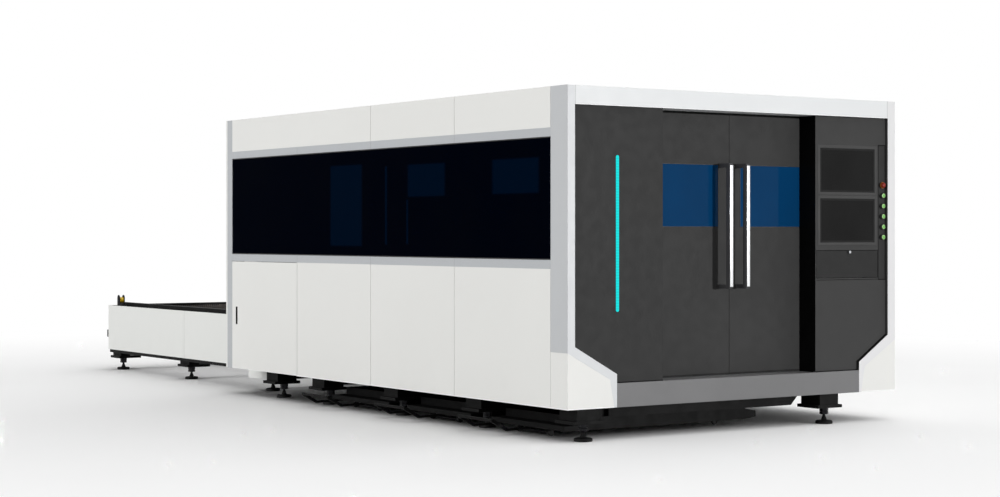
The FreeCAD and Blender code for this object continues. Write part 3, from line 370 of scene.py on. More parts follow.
@dataclass(frozen=True)
class PowderCoat(Finish):
    """Baked powder paint: faint orange peel, soft edges, a little dust low down, painted light
    and shade.
    """

    roughness: float = 0.42
    peel: float = 0.00004
    edge: float = 0.0016
    # share of the painted highlight laid along the edges
    edge_light: float = 0.25
    specular: float = 0.25
    dust: float = 0.08
    cloudy: float = 0.05
    left_colour: Ink | None = None          # painted shade on faces that look left
    left_reach: float = 0.7
    left_split: float = 0.0                 # height from which they take the upper painted shade
    left_above: Ink = (0, 0, 0)
    under_colour: Ink | None = None         # painted shade on faces that look down
    hem: float | None = None                # height of the painted highlight along a lower edge
    hem_width: float = 0.006
    joints: tuple[float, ...] = ()          # places of dark lines along joint_way
    joint_width: float = 0.003
    joint_way: Way = Way.Y

    def lay(self, paint: Paint) -> None:
        """Lay cloudy colour, painted highlights and shade, joints, dust and orange peel.

        Args:
            paint: The paint that takes the nodes.
        """
        base, light, height = paint.base, paint.share(1.25, 0.03), paint.height
        paint.tone = paint.mix(paint.noise(1.3, 3.0).ease(0.35, 0.65),
                               paint.share(1 - self.cloudy), base)
        # painted highlight: the edges take a lighter colour
        if self.edge_light > 0:
            paint.cover(paint.edge_mask(self.edge) * self.edge_light, light)
        # painted shade: faces that look left take a darker colour, a second one above the split
        if self.left_colour is not None:
            shade: Colour = linear(self.left_colour)
            if self.left_split > 0:
                shade = paint.mix(height > self.left_split, shade, linear(self.left_above))
            paint.cover(paint.normal().axis(Way.X) < -self.left_reach, shade)
        # painted shade on faces that look down
        if self.under_colour is not None:
            paint.cover(paint.normal().axis(Way.Z) < -0.7, linear(self.under_colour))
        # painted highlight along the lower edge
        if self.hem is not None:
            paint.cover((height < self.hem + self.hem_width) * 0.8, light)
        for spot in self.joints:
            seam = abs(paint.place.axis(self.joint_way) - spot) < self.joint_width / 2
            paint.cover(seam * 0.5, paint.share(0.55))
        low = height.ease(0.65, 0.0) * paint.noise(9.0, 4.0).ease(0.42, 0.75)
        paint.cover(low * self.dust, paint.share(0.55, 0.02))
        paint.set(Roughness=paint.noise(14.0, 4.0).about(self.roughness, 0.04, 0.06),
                  Specular_IOR_Level=self.specular)
        paint.relief(paint.noise(420.0, 1.0) + paint.noise(60.0, 1.0) * 0.6, self.peel, self.edge)


@dataclass(frozen=True)
class TrimCoat(Finish):
    """Metallic grey trim paint with a joint line at every bay."""

    joints: tuple[float, ...]
    roughness: float = 0.38
    joint: float = 0.0016

    def lay(self, paint: Paint) -> None:
        """Lay metallic flecks, painted highlights on the edges and the joints' grooves.

        Args:
            paint: The paint that takes the nodes.
        """
        paint.tone = paint.mix(paint.noise(900.0, 1.0).ease(0.35, 0.65), paint.share(0.93),
                               paint.share(1.06))
        # painted highlight along the edges
        paint.cover(paint.edge_mask(0.003) * 0.7, paint.share(1.3))
        along = paint.place.axis(Way.Y)
        gaps = [abs(along - y) < self.joint / 2 for y in self.joints]
        groove = sum(gaps[1:], gaps[0])
        paint.cover(groove * 0.75, (0.02, 0.02, 0.02))
        paint.set(Roughness=paint.noise(20.0, 3.0).about(self.roughness, 0.05, 0.05),
                  Metallic=0.15, Specular_IOR_Level=0.35)
        paint.relief(paint.noise(300.0, 1.0) * 0.5 - groove, 0.00008, 0.002)


@dataclass(frozen=True)
class Metal(Finish):
    """Bare or plated metal with grinding lines along one direction."""

    grain: Way = Way.Y
    roughness: float = 0.32
    stain: float = 0.25
    stain_colour: Ink = (92, 78, 66)
    metallic: float = 1.0

    def lay(self, paint: Paint) -> None:
        """Lay grinding lines and stains.

        Args:
            paint: The paint that takes the nodes.
        """
        lines = paint.noise(700.0, 2.0, tuple(0.03 if way is self.grain else 1.0 for way in Way))
        cloud = paint.noise(6.0, 5.0)
        paint.tone = paint.mix(lines.ease(0.3, 0.7), paint.share(0.82), paint.base)
        paint.cover(cloud.ease(0.52, 0.72) * self.stain, linear(self.stain_colour))
        paint.set(Roughness=lines.about(self.roughness, 0.08, 0.08)
                  + cloud.ease(0.5, 0.75) * 0.12, Metallic=self.metallic)
        paint.relief(lines, 0.00002, 0.0008)


@dataclass(frozen=True)
class CutSteel(Finish):
    """Hot-rolled slats: dark scale, heat tint and slag towards the cut tips."""

    tips: float                             # height of the tips
    reach: float = 0.045                    # how far the tint reaches down

    def lay(self, paint: Paint) -> None:
        """Lay scale, heat tint and slag.

        Args:
            paint: The paint that takes the nodes.
        """
        blotch, tips = paint.noise(24.0, 6.0), self.tips
        paint.tone = paint.mix(blotch.ease(0.4, 0.65), paint.base, linear((70, 69, 70)))
        near_tip = (paint.height + (blotch - 0.5) * 0.03).ease(tips - self.reach, tips)
        paint.cover(near_tip * 0.8, paint.mix(paint.noise(70.0).ease(0.4, 0.6),
                                              linear((52, 48, 55)), linear((80, 69, 57))))
        slag = paint.noise(260.0, 4.0).ease(0.56, 0.7) * near_tip
        paint.cover(slag, linear((40, 38, 38)))
        paint.set(Roughness=blotch.ease(0.3, 0.7, 0.42, 0.68) + slag * 0.2, Metallic=0.45)
        paint.relief(blotch * 0.4 + slag, 0.0003)


@dataclass(frozen=True)
class Moulding(Finish):
    """Moulded plastic or rubber with a fine grain."""

    roughness: float = 0.5
    grain: float = 0.00003
    grain_scale: float = 1100.0
    specular: float = 0.4
    coat: float = 0.0
    glow: float = 0.0

    def lay(self, paint: Paint) -> None:
        """Lay clouded colour, painted highlights on the edges, grain and a faint glow.

        Args:
            paint: The paint that takes the nodes.
        """
        cloud = paint.noise(35.0, 3.0)
        paint.tone = paint.mix(cloud.ease(0.3, 0.7), paint.share(0.88), paint.base)
        # painted highlight along the edges
        paint.cover(paint.edge_mask(0.0008) * 0.3, paint.share(1.15, 0.01))
        paint.set(Roughness=cloud.about(self.roughness, 0.06, 0.06), Coat_Weight=self.coat,
                  Specular_IOR_Level=self.specular)
        paint.relief(paint.noise(self.grain_scale), self.grain, 0.0006)
        if self.glow > 0:
            paint.set(Emission_Color=paint.tone, Emission_Strength=self.glow)


@dataclass(frozen=True)
class Pane(Finish):
    """A tinted safety pane: dark, glossy, slightly see-through."""

    alpha: float = 0.95
    specular: float = 0.05
    roughness: float = 0.04
    behind: tuple[tuple[float, float, float, float], ...] = ()
    behind_colour: Ink = (0, 14, 32)
    behind_ease: float = 0.04

    def lay(self, paint: Paint) -> None:
        """Lay the tint, what shows behind it, and smears.

        Args:
            paint: The paint that takes the nodes.
        """
        paint.tone = paint.mix(paint.noise(2.2, 4.0).ease(0.35, 0.7), paint.base,
                               paint.share(0.9, 0.0004))
        along, up = paint.place.axis(Way.Y), paint.height
        for y0, y1, z0, z1 in self.behind:
            soft = min(self.behind_ease, (y1 - y0) / 3)
            inside = (along.ease(y0, y0 + soft) * along.ease(y1, y1 - soft)
                      * up.ease(z0, z0 + 0.02) * up.ease(z1, z1 - 0.02))
            paint.cover(inside * 0.8, linear(self.behind_colour))
        smear = paint.noise(40.0, 3.0, (1.0, 1.0, 0.35)).ease(0.45, 0.8)
        paint.set(Roughness=smear * 0.05 + self.roughness, Alpha=self.alpha,
                  Specular_IOR_Level=self.specular)
        paint.relief(paint.noise(1.6, 1.0), 0.0006)


@dataclass(frozen=True)
class Display(Finish):
    """A switched-off flat screen behind glass."""

    def lay(self, paint: Paint) -> None:
        """Lay a painted sheen and dust.

        Args:
            paint: The paint that takes the nodes.
        """
        # painted sheen: lighter patches over the glass
        paint.tone = paint.mix(paint.noise(3.0).ease(0.3, 0.7), paint.base, paint.share(1.25))
        dust = paint.noise(260.0, 3.0).ease(0.62, 0.8)
        paint.cover(dust * 0.15, linear((80, 80, 82)))
        paint.set(Roughness=dust * 0.2 + 0.16, Specular_IOR_Level=0.04)


@dataclass(frozen=True)
class LightBar(Finish):
    """A lit strip with a milky cover over its row of diodes."""

    pitch: float = 0.0166
    strength: float = 1.04

    def lay(self, paint: Paint) -> None:
        """Lay the diodes' glow and the cover's fine weave.

        Args:
            paint: The paint that takes the nodes.
        """
        half, cloth = self.pitch / 2, paint.noise(500.0, 1.0)
        glow = paint.mix(paint.height.fold(half).ease(0.0, half), paint.share(0.86), paint.base)
        paint.tone = paint.share(0.03)
        paint.set(Roughness=cloth * 0.1 + 0.45, Specular_IOR_Level=0.05, Emission_Color=glow,
                  Emission_Strength=self.strength)
        paint.relief(cloth, 0.00003)


@dataclass(frozen=True)
class Span:
    """The space between a lowest and a highest corner, in metres."""

    low: Vector
    high: Vector

    @classmethod
    def of(cls, node: str) -> "Span":
        """The space of a CAD node."""
        return cls(*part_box(node))

    @property
    def mid(self) -> Vector:
        """The middle of the space."""
        return (self.low + self.high) / 2

    @property
    def size(self) -> Vector:
        """How far the space reaches along each axis."""
        return self.high - self.low


SIDE_SEAMS = tuple(y - 3.7425 for y in (1.2195, 2.269, 3.3185))    # from the cladding's front
HEADER = Span.of("front_header")
# what shows through the side glass: lowest and highest y, lowest and highest z
SEEN_INSIDE = ((-1.3665, -0.8905, 1.134, 1.7125), (-2.421, -1.9305, 1.462, 1.692),
               (-3.4635, -2.9295, 1.463, 1.694), (-1.690, -1.650, 1.145, 1.69),
               (-1.960, -1.925, 1.150, 1.462))
white = partial(PowderCoat, slot="white_paint", cloudy=0.012, dust=0.04)
light = partial(PowderCoat, slot="light_grey_paint", cloudy=0.02)
dark = partial(PowderCoat, slot="dark_paint", roughness=0.5, specular=0.06)
black = partial(Moulding, slot="black_plastic")


class Look(Enum):
    """All finishes of the machine."""

    # painted sheet metal
    # the panels' lower edge takes a painted highlight
    WHITE = white("white_powder_coat", colour=(231, 231, 228), hem=0.195, dust=0.03)
    # the header's underside takes near-black painted shade, its lower edge a painted highlight
    HEADER = white("header_powder_coat", colour=(227, 229, 230), hem=1.988, hem_width=0.004,
                   dust=0.0, under_colour=grey(16), joint_way=Way.X, joint_width=0.007,
                   joints=(HEADER.low.x + 0.0035, HEADER.high.x - 0.0035))
    TABLE_WHITE = white("table_powder_coat", colour=(229, 230, 227), joints=(2.1255,))
    REAR_WHITE = white("rear_powder_coat", colour=(231, 231, 228), joints=(-0.66, 0.66),
                       joint_way=Way.X)
    # the column's left faces take painted shade, its edges a painted highlight
    LIGHT = light("light_grey_powder_coat", colour=(216, 218, 220), edge=0.004, edge_light=0.7,
                  left_colour=(192, 194, 196))
    # the column's left return takes painted shade, darker low down
    RIGHT_LIGHT = light("right_trim_powder_coat", colour=(226, 226, 227), edge=0.003,
                        edge_light=0.3, left_colour=grey(20), left_reach=0.5,
                        left_split=0.565, left_above=grey(58))
    TRIM = TrimCoat("silver_trim_paint", "light_grey_paint", (180, 183, 186), SIDE_SEAMS)
    SILL = PowderCoat("mid_grey_powder_coat", "mid_grey_paint", (117, 117, 118), 0.4,
                      specular=0.15)
    GRAPHITE = dark("graphite_powder_coat", colour=grey(53), edge_light=0.0, cloudy=0.02)
    DOOR = dark("door_powder_coat", colour=grey(59), edge_light=0.0, cloudy=0.02)
    # the cabinet's left wall takes near-black painted shade
    CABINET = dark("cabinet_powder_coat", colour=grey(63), edge_light=0.1, left_colour=grey(2))
    SURROUND = dark("screen_surround_paint", colour=grey(70), specular=0.08)
    STRIP = dark("button_strip_paint", colour=grey(54), edge_light=0.1)
    DRAWER = dark("drawer_powder_coat", colour=grey(45), edge_light=0.15)
    # painted shade: the tracks take near-black where they sit in shade
    TRACKS = PowderCoat("dark_track_paint", "zinc_steel", grey(20), 0.5, edge_light=0.1,
                        specular=0.1)
    FRAME = PowderCoat("black_frame_paint", "black_frame_paint", grey(15), 0.55, specular=0.06,
                       dust=0.10, edge_light=0.12)
    HEAD = PowderCoat("black_satin_paint", "black_plastic_paint", (34, 34, 36), 0.35,
                      specular=0.35)
    HANDLE = PowderCoat("dark_handle_paint", "satin_aluminium", (82, 82, 84), 0.4,
                        specular=0.15, dust=0.0)
    # ground, plated, turned and flame-cut metal
    RAILS = Metal("ground_rail_steel", "ground_steel", (196, 199, 203), Way.Y, 0.22, 0.08)
    ZINC = Metal("zinc_plate", "zinc_steel", (176, 178, 182), Way.X, 0.4, 0.15,
                 (140, 140, 138))
    ALUMINIUM = Metal("satin_aluminium", "satin_aluminium", (235, 236, 238), Way.Z, 0.3, 0.03,
                      grey(200), 0.35)
    BEAM = Metal("machined_aluminium", "beam_aluminium", (205, 207, 210), Way.X, 0.34, 0.05,
                 grey(160))
    CHROME = Metal("polished_chrome", "chrome", (214, 216, 220), Way.Z, 0.12, 0.02)
    COPPER = Metal("nozzle_copper", "beam_aluminium", (196, 120, 84), Way.Z, 0.25, 0.2)
    BOLT = Metal("blackened_bolt_steel", "black_frame_paint", (40, 40, 42), Way.Z, 0.45, 0.1)
    UPPER_SLATS = CutSteel("upper_slat_steel", "slat_steel", (42, 41, 42),
                           Span.of("upper_pallet_slats").high.z)
    LOWER_SLATS = CutSteel("lower_slat_steel", "slat_steel", (42, 41, 42),
                           Span.of("lower_pallet_slats").high.z)
    # rubber, plastic, glass and the light
    FEET = Moulding("black_foot_rubber", "black_feet", grey(7), 0.55, specular=0.1)
    TYRE = Moulding("black_tyre_rubber", "black_rubber", grey(20), 0.62, specular=0.15)
    GASKET = black("window_gasket_rubber", colour=(24, 24, 25), roughness=0.6)
    BLACK = black("black_moulded_plastic", colour=(34, 34, 35))
    KEYS = black("keyboard_key_plastic", colour=(48, 48, 50), roughness=0.55, grain=0.00005)
    # near-black lining for gaps and recesses: painted shade
    DEEP = black("shadow_black_lining", colour=grey(9), roughness=0.8, specular=0.05)
    GREEN = Moulding("lit_green_cap", "green_plastic", (86, 168, 56), 0.35, coat=0.1, glow=0.1)
    PALE_GREEN = Moulding("pale_green_ring", "green_plastic", (162, 206, 130), 0.4, coat=0.05,
                          glow=0.05)
    RED = Moulding("red_mushroom_plastic", "red_plastic", (132, 36, 24), 0.4, coat=0.05,
                   specular=0.15)
    ORANGE = Moulding("orange_stop_collar", "yellow_plastic", (176, 108, 36), 0.4,
                      specular=0.15)
    YELLOW = Moulding("yellow_plastic", "yellow_plastic", (246, 204, 40), 0.4)
    BEZEL = Moulding("screen_bezel_plastic", "screen_black", grey(30), specular=0.06)
    DISPLAY = Display("screen_glass", "screen_black", grey(28))
    DOOR_PANE = Pane("blue_door_pane", "blue_window", (8, 63, 108))
    SIDE_PANE = Pane("dark_side_pane", "dark_glass", (0, 2, 10), alpha=0.99, specular=0.001,
                     behind=SEEN_INSIDE)
    LIGHT_BAR = LightBar("cyan_light_bar", "cyan_light", (10, 226, 226))

    @cached_property
    def material(self) -> bpy.types.Material:
        """The finish's material, made on its first use."""
        return self.value.material()


# ---- modelling
@dataclass
class Assembly:
    """A group of pieces, with the modelling steps that every group uses."""

    def _mode(self, mode: str) -> None:
        """Change between object and edit mode."""
        bpy.ops.object.mode_set(mode=mode)

    def hold(self, piece: Piece | None = None) -> None:
        """Leave edit mode and select one piece alone, or nothing.

        Args:
            piece: The piece that becomes selected and active.
        """
        if bpy.context.object is not None and bpy.context.object.mode != "OBJECT":
            self._mode("OBJECT")
        bpy.ops.object.select_all(action="DESELECT")
        if piece is not None:
            piece.select_set(True)
            bpy.context.view_layer.objects.active = piece

    def _named(self, name: str) -> Piece:
        """Name the piece in hand and fix its place in its mesh.

        Args:
            name: The name of the piece and its mesh.

        Returns:
            The piece.
        """
        piece = bpy.context.object
        piece.name = piece.data.name = name
        bpy.ops.object.transform_apply(location=True, rotation=True, scale=True)
        return piece

    def block(self, name: str, low: Place, high: Place) -> Piece:
        """A block between two corners, ready to be shaped.

        Args:
            name: Name of the piece.
            low: Its lowest corner.
            high: Its highest corner.

        Returns:
            The piece.
        """
        self.hold()
        a, b = Vector(low), Vector(high)
        bpy.ops.mesh.primitive_cube_add(size=1.0, location=(a + b) / 2, scale=b - a)
        return self._named(name)

    def bar(self, name: str, low: Place, high: Place, body: str,
            look: Look, edge: float, segments: int = 2, rim: float = 0.0) -> Piece:
        """A strip with soft edges between two corners, or a flat ring open along y.

        Args:
            name: Name of the piece.
            low: Its lowest corner.
            high: Its highest corner.
            body: The body that carries it.
            look: Its finish.
            edge: Radius of its edges.
            segments: Steps in each rounded edge.
            rim: Width of the ring's sides, or nothing for a full strip.

        Returns:
            The piece.
        """
        piece = self.block(name, low, high)
        if rim > 0:
            self.pick(piece, lambda c, n: abs(n.y) > FLAT)
            bpy.ops.mesh.inset(thickness=rim)
            bpy.ops.mesh.bridge_edge_loops()
            self._close(piece)
        self.soften(piece, edge, segments)
        return self.fit(piece, body, look)

    def turned(self, name: str, foot: Place, way: Vector, profile: Profile,
               sides: int = 32) -> Piece:
        """A turned piece, drawn up ring by ring from a filled circle.

        Args:
            name: Name of the piece.
            foot: The point of its axis at height zero.
            way: Unit vector along its axis.
            profile: Radius and height pairs in millimetres from its start to its end.
            sides: Number of sides.

        Returns:
            The piece.
        """
        self.hold()
        foot = Vector(foot)
        (radius, height), *rings = [(r * MM, h * MM) for r, h in profile]
        turn = way.to_track_quat("Z", "Y").to_euler()
        bpy.ops.mesh.primitive_circle_add(vertices=sides, radius=radius, fill_type="NGON",
                                          location=foot + way * height, rotation=turn)
        piece = self._named(name)
        self._mode("EDIT")
        bpy.ops.mesh.select_mode(type="FACE")
        bpy.ops.mesh.select_all(action="SELECT")
        for next_radius, next_height in rings:
            bpy.ops.mesh.extrude_region_move(
                TRANSFORM_OT_translate={"value": way * (next_height - height)})
            share = next_radius / radius
            bpy.ops.transform.resize(value=(share, share, share),
                                     center_override=foot + way * next_height)
            radius, height = next_radius, next_height
        self._close(piece)
        return piece

    def _close(self, piece: Piece) -> None:
        """Turn all faces outwards and leave edit mode.

        Args:
            piece: The piece in edit mode.
        """
        bpy.ops.mesh.select_all(action="SELECT")
        bpy.ops.mesh.normals_make_consistent(inside=False)
        self.hold(piece)

    def pick(self, piece: Piece, test: Test) -> None:
        """Enter edit mode with the faces selected that pass a test.

        Args:
            piece: The piece.
            test: Passes a face by its centre and normal.
        """
        self.hold(piece)
        self._mode("EDIT")
        bpy.ops.mesh.select_mode(type="FACE")
        bpy.ops.mesh.select_all(action="DESELECT")
        self._mode("OBJECT")
        for face in piece.data.polygons:
            face.select = test(face.center, face.normal)
        self._mode("EDIT")

    def rework(self, piece: Piece, test: Test, tool: Callable, **settings: object) -> None:
        """Use one edit tool on the faces that pass a test.

        Args:
            piece: The piece.
            test: Passes a face by its centre and normal.
            tool: The operator.
            **settings: What the operator is given.
        """
        self.pick(piece, test)
        tool(**settings)
        self._mode("OBJECT")

    def _apply(self, piece: Piece, kind: str, **settings: object) -> None:
        """Finish a piece with one applied modifier.

        Args:
            piece: The piece.
            kind: The modifier's type.
            **settings: Its properties.
        """
        self.hold(piece)
        modifier = piece.modifiers.new("step", kind)
        for key, value in settings.items():
            setattr(modifier, key, value)
        bpy.ops.object.modifier_apply(modifier=modifier.name)

    def soften(self, piece: Piece, width: float, segments: int = 2) -> None:
        """Round the sharp edges."""
        self._apply(piece, "BEVEL", width=width, segments=segments, limit_method="ANGLE",
                    angle_limit=math.radians(30))

    def row(self, piece: Piece, count: int, step: Place, merge: bool = False) -> None:
        """Repeat the piece in a row.

        Args:
            piece: The piece.
            count: How many it becomes.
            step: The move from one to the next.
            merge: Whether touching ends are merged.
        """
        self._apply(piece, "ARRAY", use_relative_offset=False, use_constant_offset=True,
                    constant_offset_displace=step, count=count, use_merge_vertices=merge,
                    merge_threshold=0.0001)

    def copy(self, piece: Piece, name: str, move: Place) -> Piece:
        """A copy with its own mesh, moved.

        Args:
            piece: What is copied.
            name: Name of the copy.
            move: How far it goes.

        Returns:
            The copy.
        """
        self.hold(piece)
        bpy.ops.object.duplicate(linked=False)
        bpy.ops.transform.translate(value=move)
        return self._named(name)

    def spread(self, piece: Piece, moves: Sequence[Place]) -> list[Piece]:
        """Copies of a piece at every move, in place of the piece itself.

        Args:
            piece: What is copied, and then removed.
            moves: How far each copy goes.

        Returns:
            The copies.
        """
        copies = [self.copy(piece, f"{piece.name}_{n}", move) for n, move in enumerate(moves, 1)]
        bpy.data.objects.remove(piece)
        return copies

    def join(self, name: str, pieces: Sequence[Piece]) -> Piece:
        """Join pieces into one.

        Args:
            name: Name of the whole.
            pieces: What is joined.

        Returns:
            The whole.
        """
        self.hold()
        for piece in pieces:
            piece.select_set(True)
        bpy.context.view_layer.objects.active = pieces[0]
        bpy.ops.object.join()
        return self._named(name)

    def coat(self, piece: Piece, look: Look, test: Test | None = None) -> None:
        """Give a finish to the whole piece, or one more to the faces that pass a test.

        Args:
            piece: The piece.
            look: The finish.
            test: Passes a face by its centre and normal.
        """
        slots = piece.data.materials
        if test is None:
            slots.clear()
        slots.append(look.material)
        for face in piece.data.polygons:
            if test is not None and test(face.center, face.normal):
                face.material_index = len(slots) - 1

    def fit(self, piece: Piece, body: str, look: Look | None = None,
            replaces: Sequence[str] = (), angle: float = 35.0) -> Piece:
        """Finish a piece and let it ride on its body.

        Args:
            piece: The modelled piece.
            body: The body that carries it.
            look: Its finish, or None where its faces are already coated.
            replaces: CAD nodes that it stands for.
            angle: Edges flatter than this many degrees are shaded smooth.

        Returns:
            The piece.
        """
        self.hold(piece)
        if look is not None:
            self.coat(piece, look)
        bpy.ops.object.shade_smooth_by_angle(angle=math.radians(angle))
        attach(piece, body)
        if replaces:
            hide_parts(*replaces)
        log.info("piece %s rides on %s", piece.name, body)
        return piece

    def dress(self, look: Look, *nodes: str) -> None:
        """Give CAD nodes a finish in their own material slots.

        Args:
            look: The finish.
            *nodes: The nodes.
        """
        for node in nodes:
            for place in FRAME["nodes"][node].material_slots:
                place.material = look.material
            log.info("node %s dressed with %s", node, look.value.name)


# ---- studio
@dataclass(frozen=True)
class Sun:
    """A distant lamp, its turn, height and size in degrees."""

    name: str
    strength: float
    turn: float                             # to the right of the front
    height: float                           # above the horizon
    size: float
    floor: Link | None = None               # lights the floor alone, or all but the floor

    def hang(self) -> Piece:
        """Put up the lamp.

        Returns:
            The lamp.
        """
        data = bpy.data.lights.new(self.name, "SUN")
        data.energy, data.angle = self.strength, math.radians(self.size)
        lamp = bpy.data.objects.new(self.name, data)
        lamp.rotation_euler = (math.radians(90 - self.height), 0.0, math.radians(self.turn))
        bpy.context.scene.collection.objects.link(lamp)
        return lamp


@dataclass
class Studio:
    """Camera, lamps and the pale floor."""

    camera_from_corner: Point = (-6.717, -9.182, 1.226)
    camera_turn: float = -34.2
    lens: float = 70.1
    lift: float = -0.0145
    lamps: tuple[Sun, ...] = (Sun("key_lamp", 1.9, 27.5, 3.0, 1.0),
                              Sun("side_lamp", 2.15, -90.0, 20.0, 50.0, Link.NOT),
                              Sun("top_lamp", 1.6, 85.0, 56.0, 50.0, Link.NOT),
                              Sun("floor_sky", 3.0, 50.0, 45.0, 130.0, Link.ONLY))
    ambient: float = 0.25
    floor_bounce: float = 0.42
    floor_shown: float = 0.96
    fade: tuple[float, float] = (4.5, 10.0)

    def build(self) -> None:
        """Make everything that isn't part of the machine."""
        self._camera()
        floor = self._floor()
        for sun in self.lamps:
            lamp = sun.hang()
            if sun.floor is not None:
                self._link(lamp, Role.LIT, [floor], sun.floor)
        self._world()

    def _camera(self) -> None:
        """The camera at the photograph's viewing angle."""
        scene, data = bpy.context.scene, bpy.data.cameras.new("camera")
        data.lens, data.sensor_width = self.lens, 36.0
        data.shift_y, data.clip_end = self.lift, 200.0
        camera = bpy.data.objects.new("camera", data)
        corner = Vector((Span.of("side_lower_panels").low.x, Span.of("front_header").low.y, 0.0))
        camera.location = corner + Vector(self.camera_from_corner)
        camera.rotation_euler = (math.radians(90), 0.0, math.radians(self.camera_turn))
        scene.collection.objects.link(camera)
        scene.camera = camera
        scene.view_settings.view_transform = "Standard"

    def _link(self, lamp: Piece, role: Role, pieces: Sequence[Piece], state: Link) -> None:
        """Choose what a lamp lights, or what may shade it.

        Args:
            lamp: The lamp.
            role: Whether the pieces are lit by it or shade it.
            pieces: The pieces in question.
            state: Whether it is only these pieces, or all but these.
        """
        group = bpy.data.collections.new(f"{lamp.name}_{role.value}s")
        for piece in pieces:
            group.objects.link(piece)
        setattr(lamp.light_linking, role.value + "_collection", group)
        for entry in group.collection_objects:
            entry.light_linking.link_state = state.value

    def let_past(self, lamp: str, node: str, room: float, least: float = 0.1) -> None:
        """Keep the large pieces about a node from shading what lies behind them.

        Args:
            lamp: The lamp whose light passes the pieces.
            node: The node whose space holds them.
            room: How far they may reach past its space.
            least: The length from which a piece is large.
        """
        space, reach = Span.of(node), Vector((room, room, room))
        passed = []
        for piece in bpy.data.objects:
            if piece.type != "MESH":
                continue
            low, high = Vector(piece.bound_box[0]), Vector(piece.bound_box[6])
            if (max(high - low) > least
                    and all(a > b for a, b in zip(low, space.low - reach))
                    and all(a < b for a, b in zip(high, space.high + reach))):
                passed.append(piece)
        self._link(bpy.data.objects[lamp], Role.SHADES, passed, Link.NOT)

    def _floor(self) -> Piece:
        """A wide pale floor that keeps the machine's shadow.

        Returns:
            The floor.
        """
        bpy.ops.object.select_all(action="DESELECT")
        bpy.ops.mesh.primitive_plane_add(size=160.0, location=(0.0, 0.0, 0.0))
        floor = bpy.context.object
        floor.name = "studio_floor"
        paint = Paint("studio_floor_paint")
        seen, cloud = paint.seen(), paint.noise(0.4).about(0.0, 0.01, 0.01)
        level = seen * (self.floor_shown - self.floor_bounce) + self.floor_bounce + cloud
        paint.set(Base_Color=paint.mix(level, (0.0, 0.0, 0.0), WHITE), Roughness=0.9,
                  Specular_IOR_Level=0.0)
        away = paint.node("VectorMath", {"operation": "LENGTH"}, {0: paint.place}, 1)
        backdrop = paint.node("Emission", {}, {0: WHITE, 1: 1.0})
        paint.end(paint.node("MixShader", {}, {0: away.ease(*self.fade) * seen,
                                               1: paint.shader, 2: backdrop}))
        floor.data.materials.append(paint.data)
        return floor

    def _world(self) -> None:
        """Soft light from all round, with a white background."""
        world = bpy.context.scene.world = bpy.data.worlds.new("studio_world")
        tree = Tree(world, "OutputWorld")
        soft, back = (tree.node("Background", {}, {0: WHITE, 1: strength})
                      for strength in (self.ambient, 1.0))
        tree.end(tree.node("MixShader", {}, {0: tree.seen(), 1: soft, 2: back}))


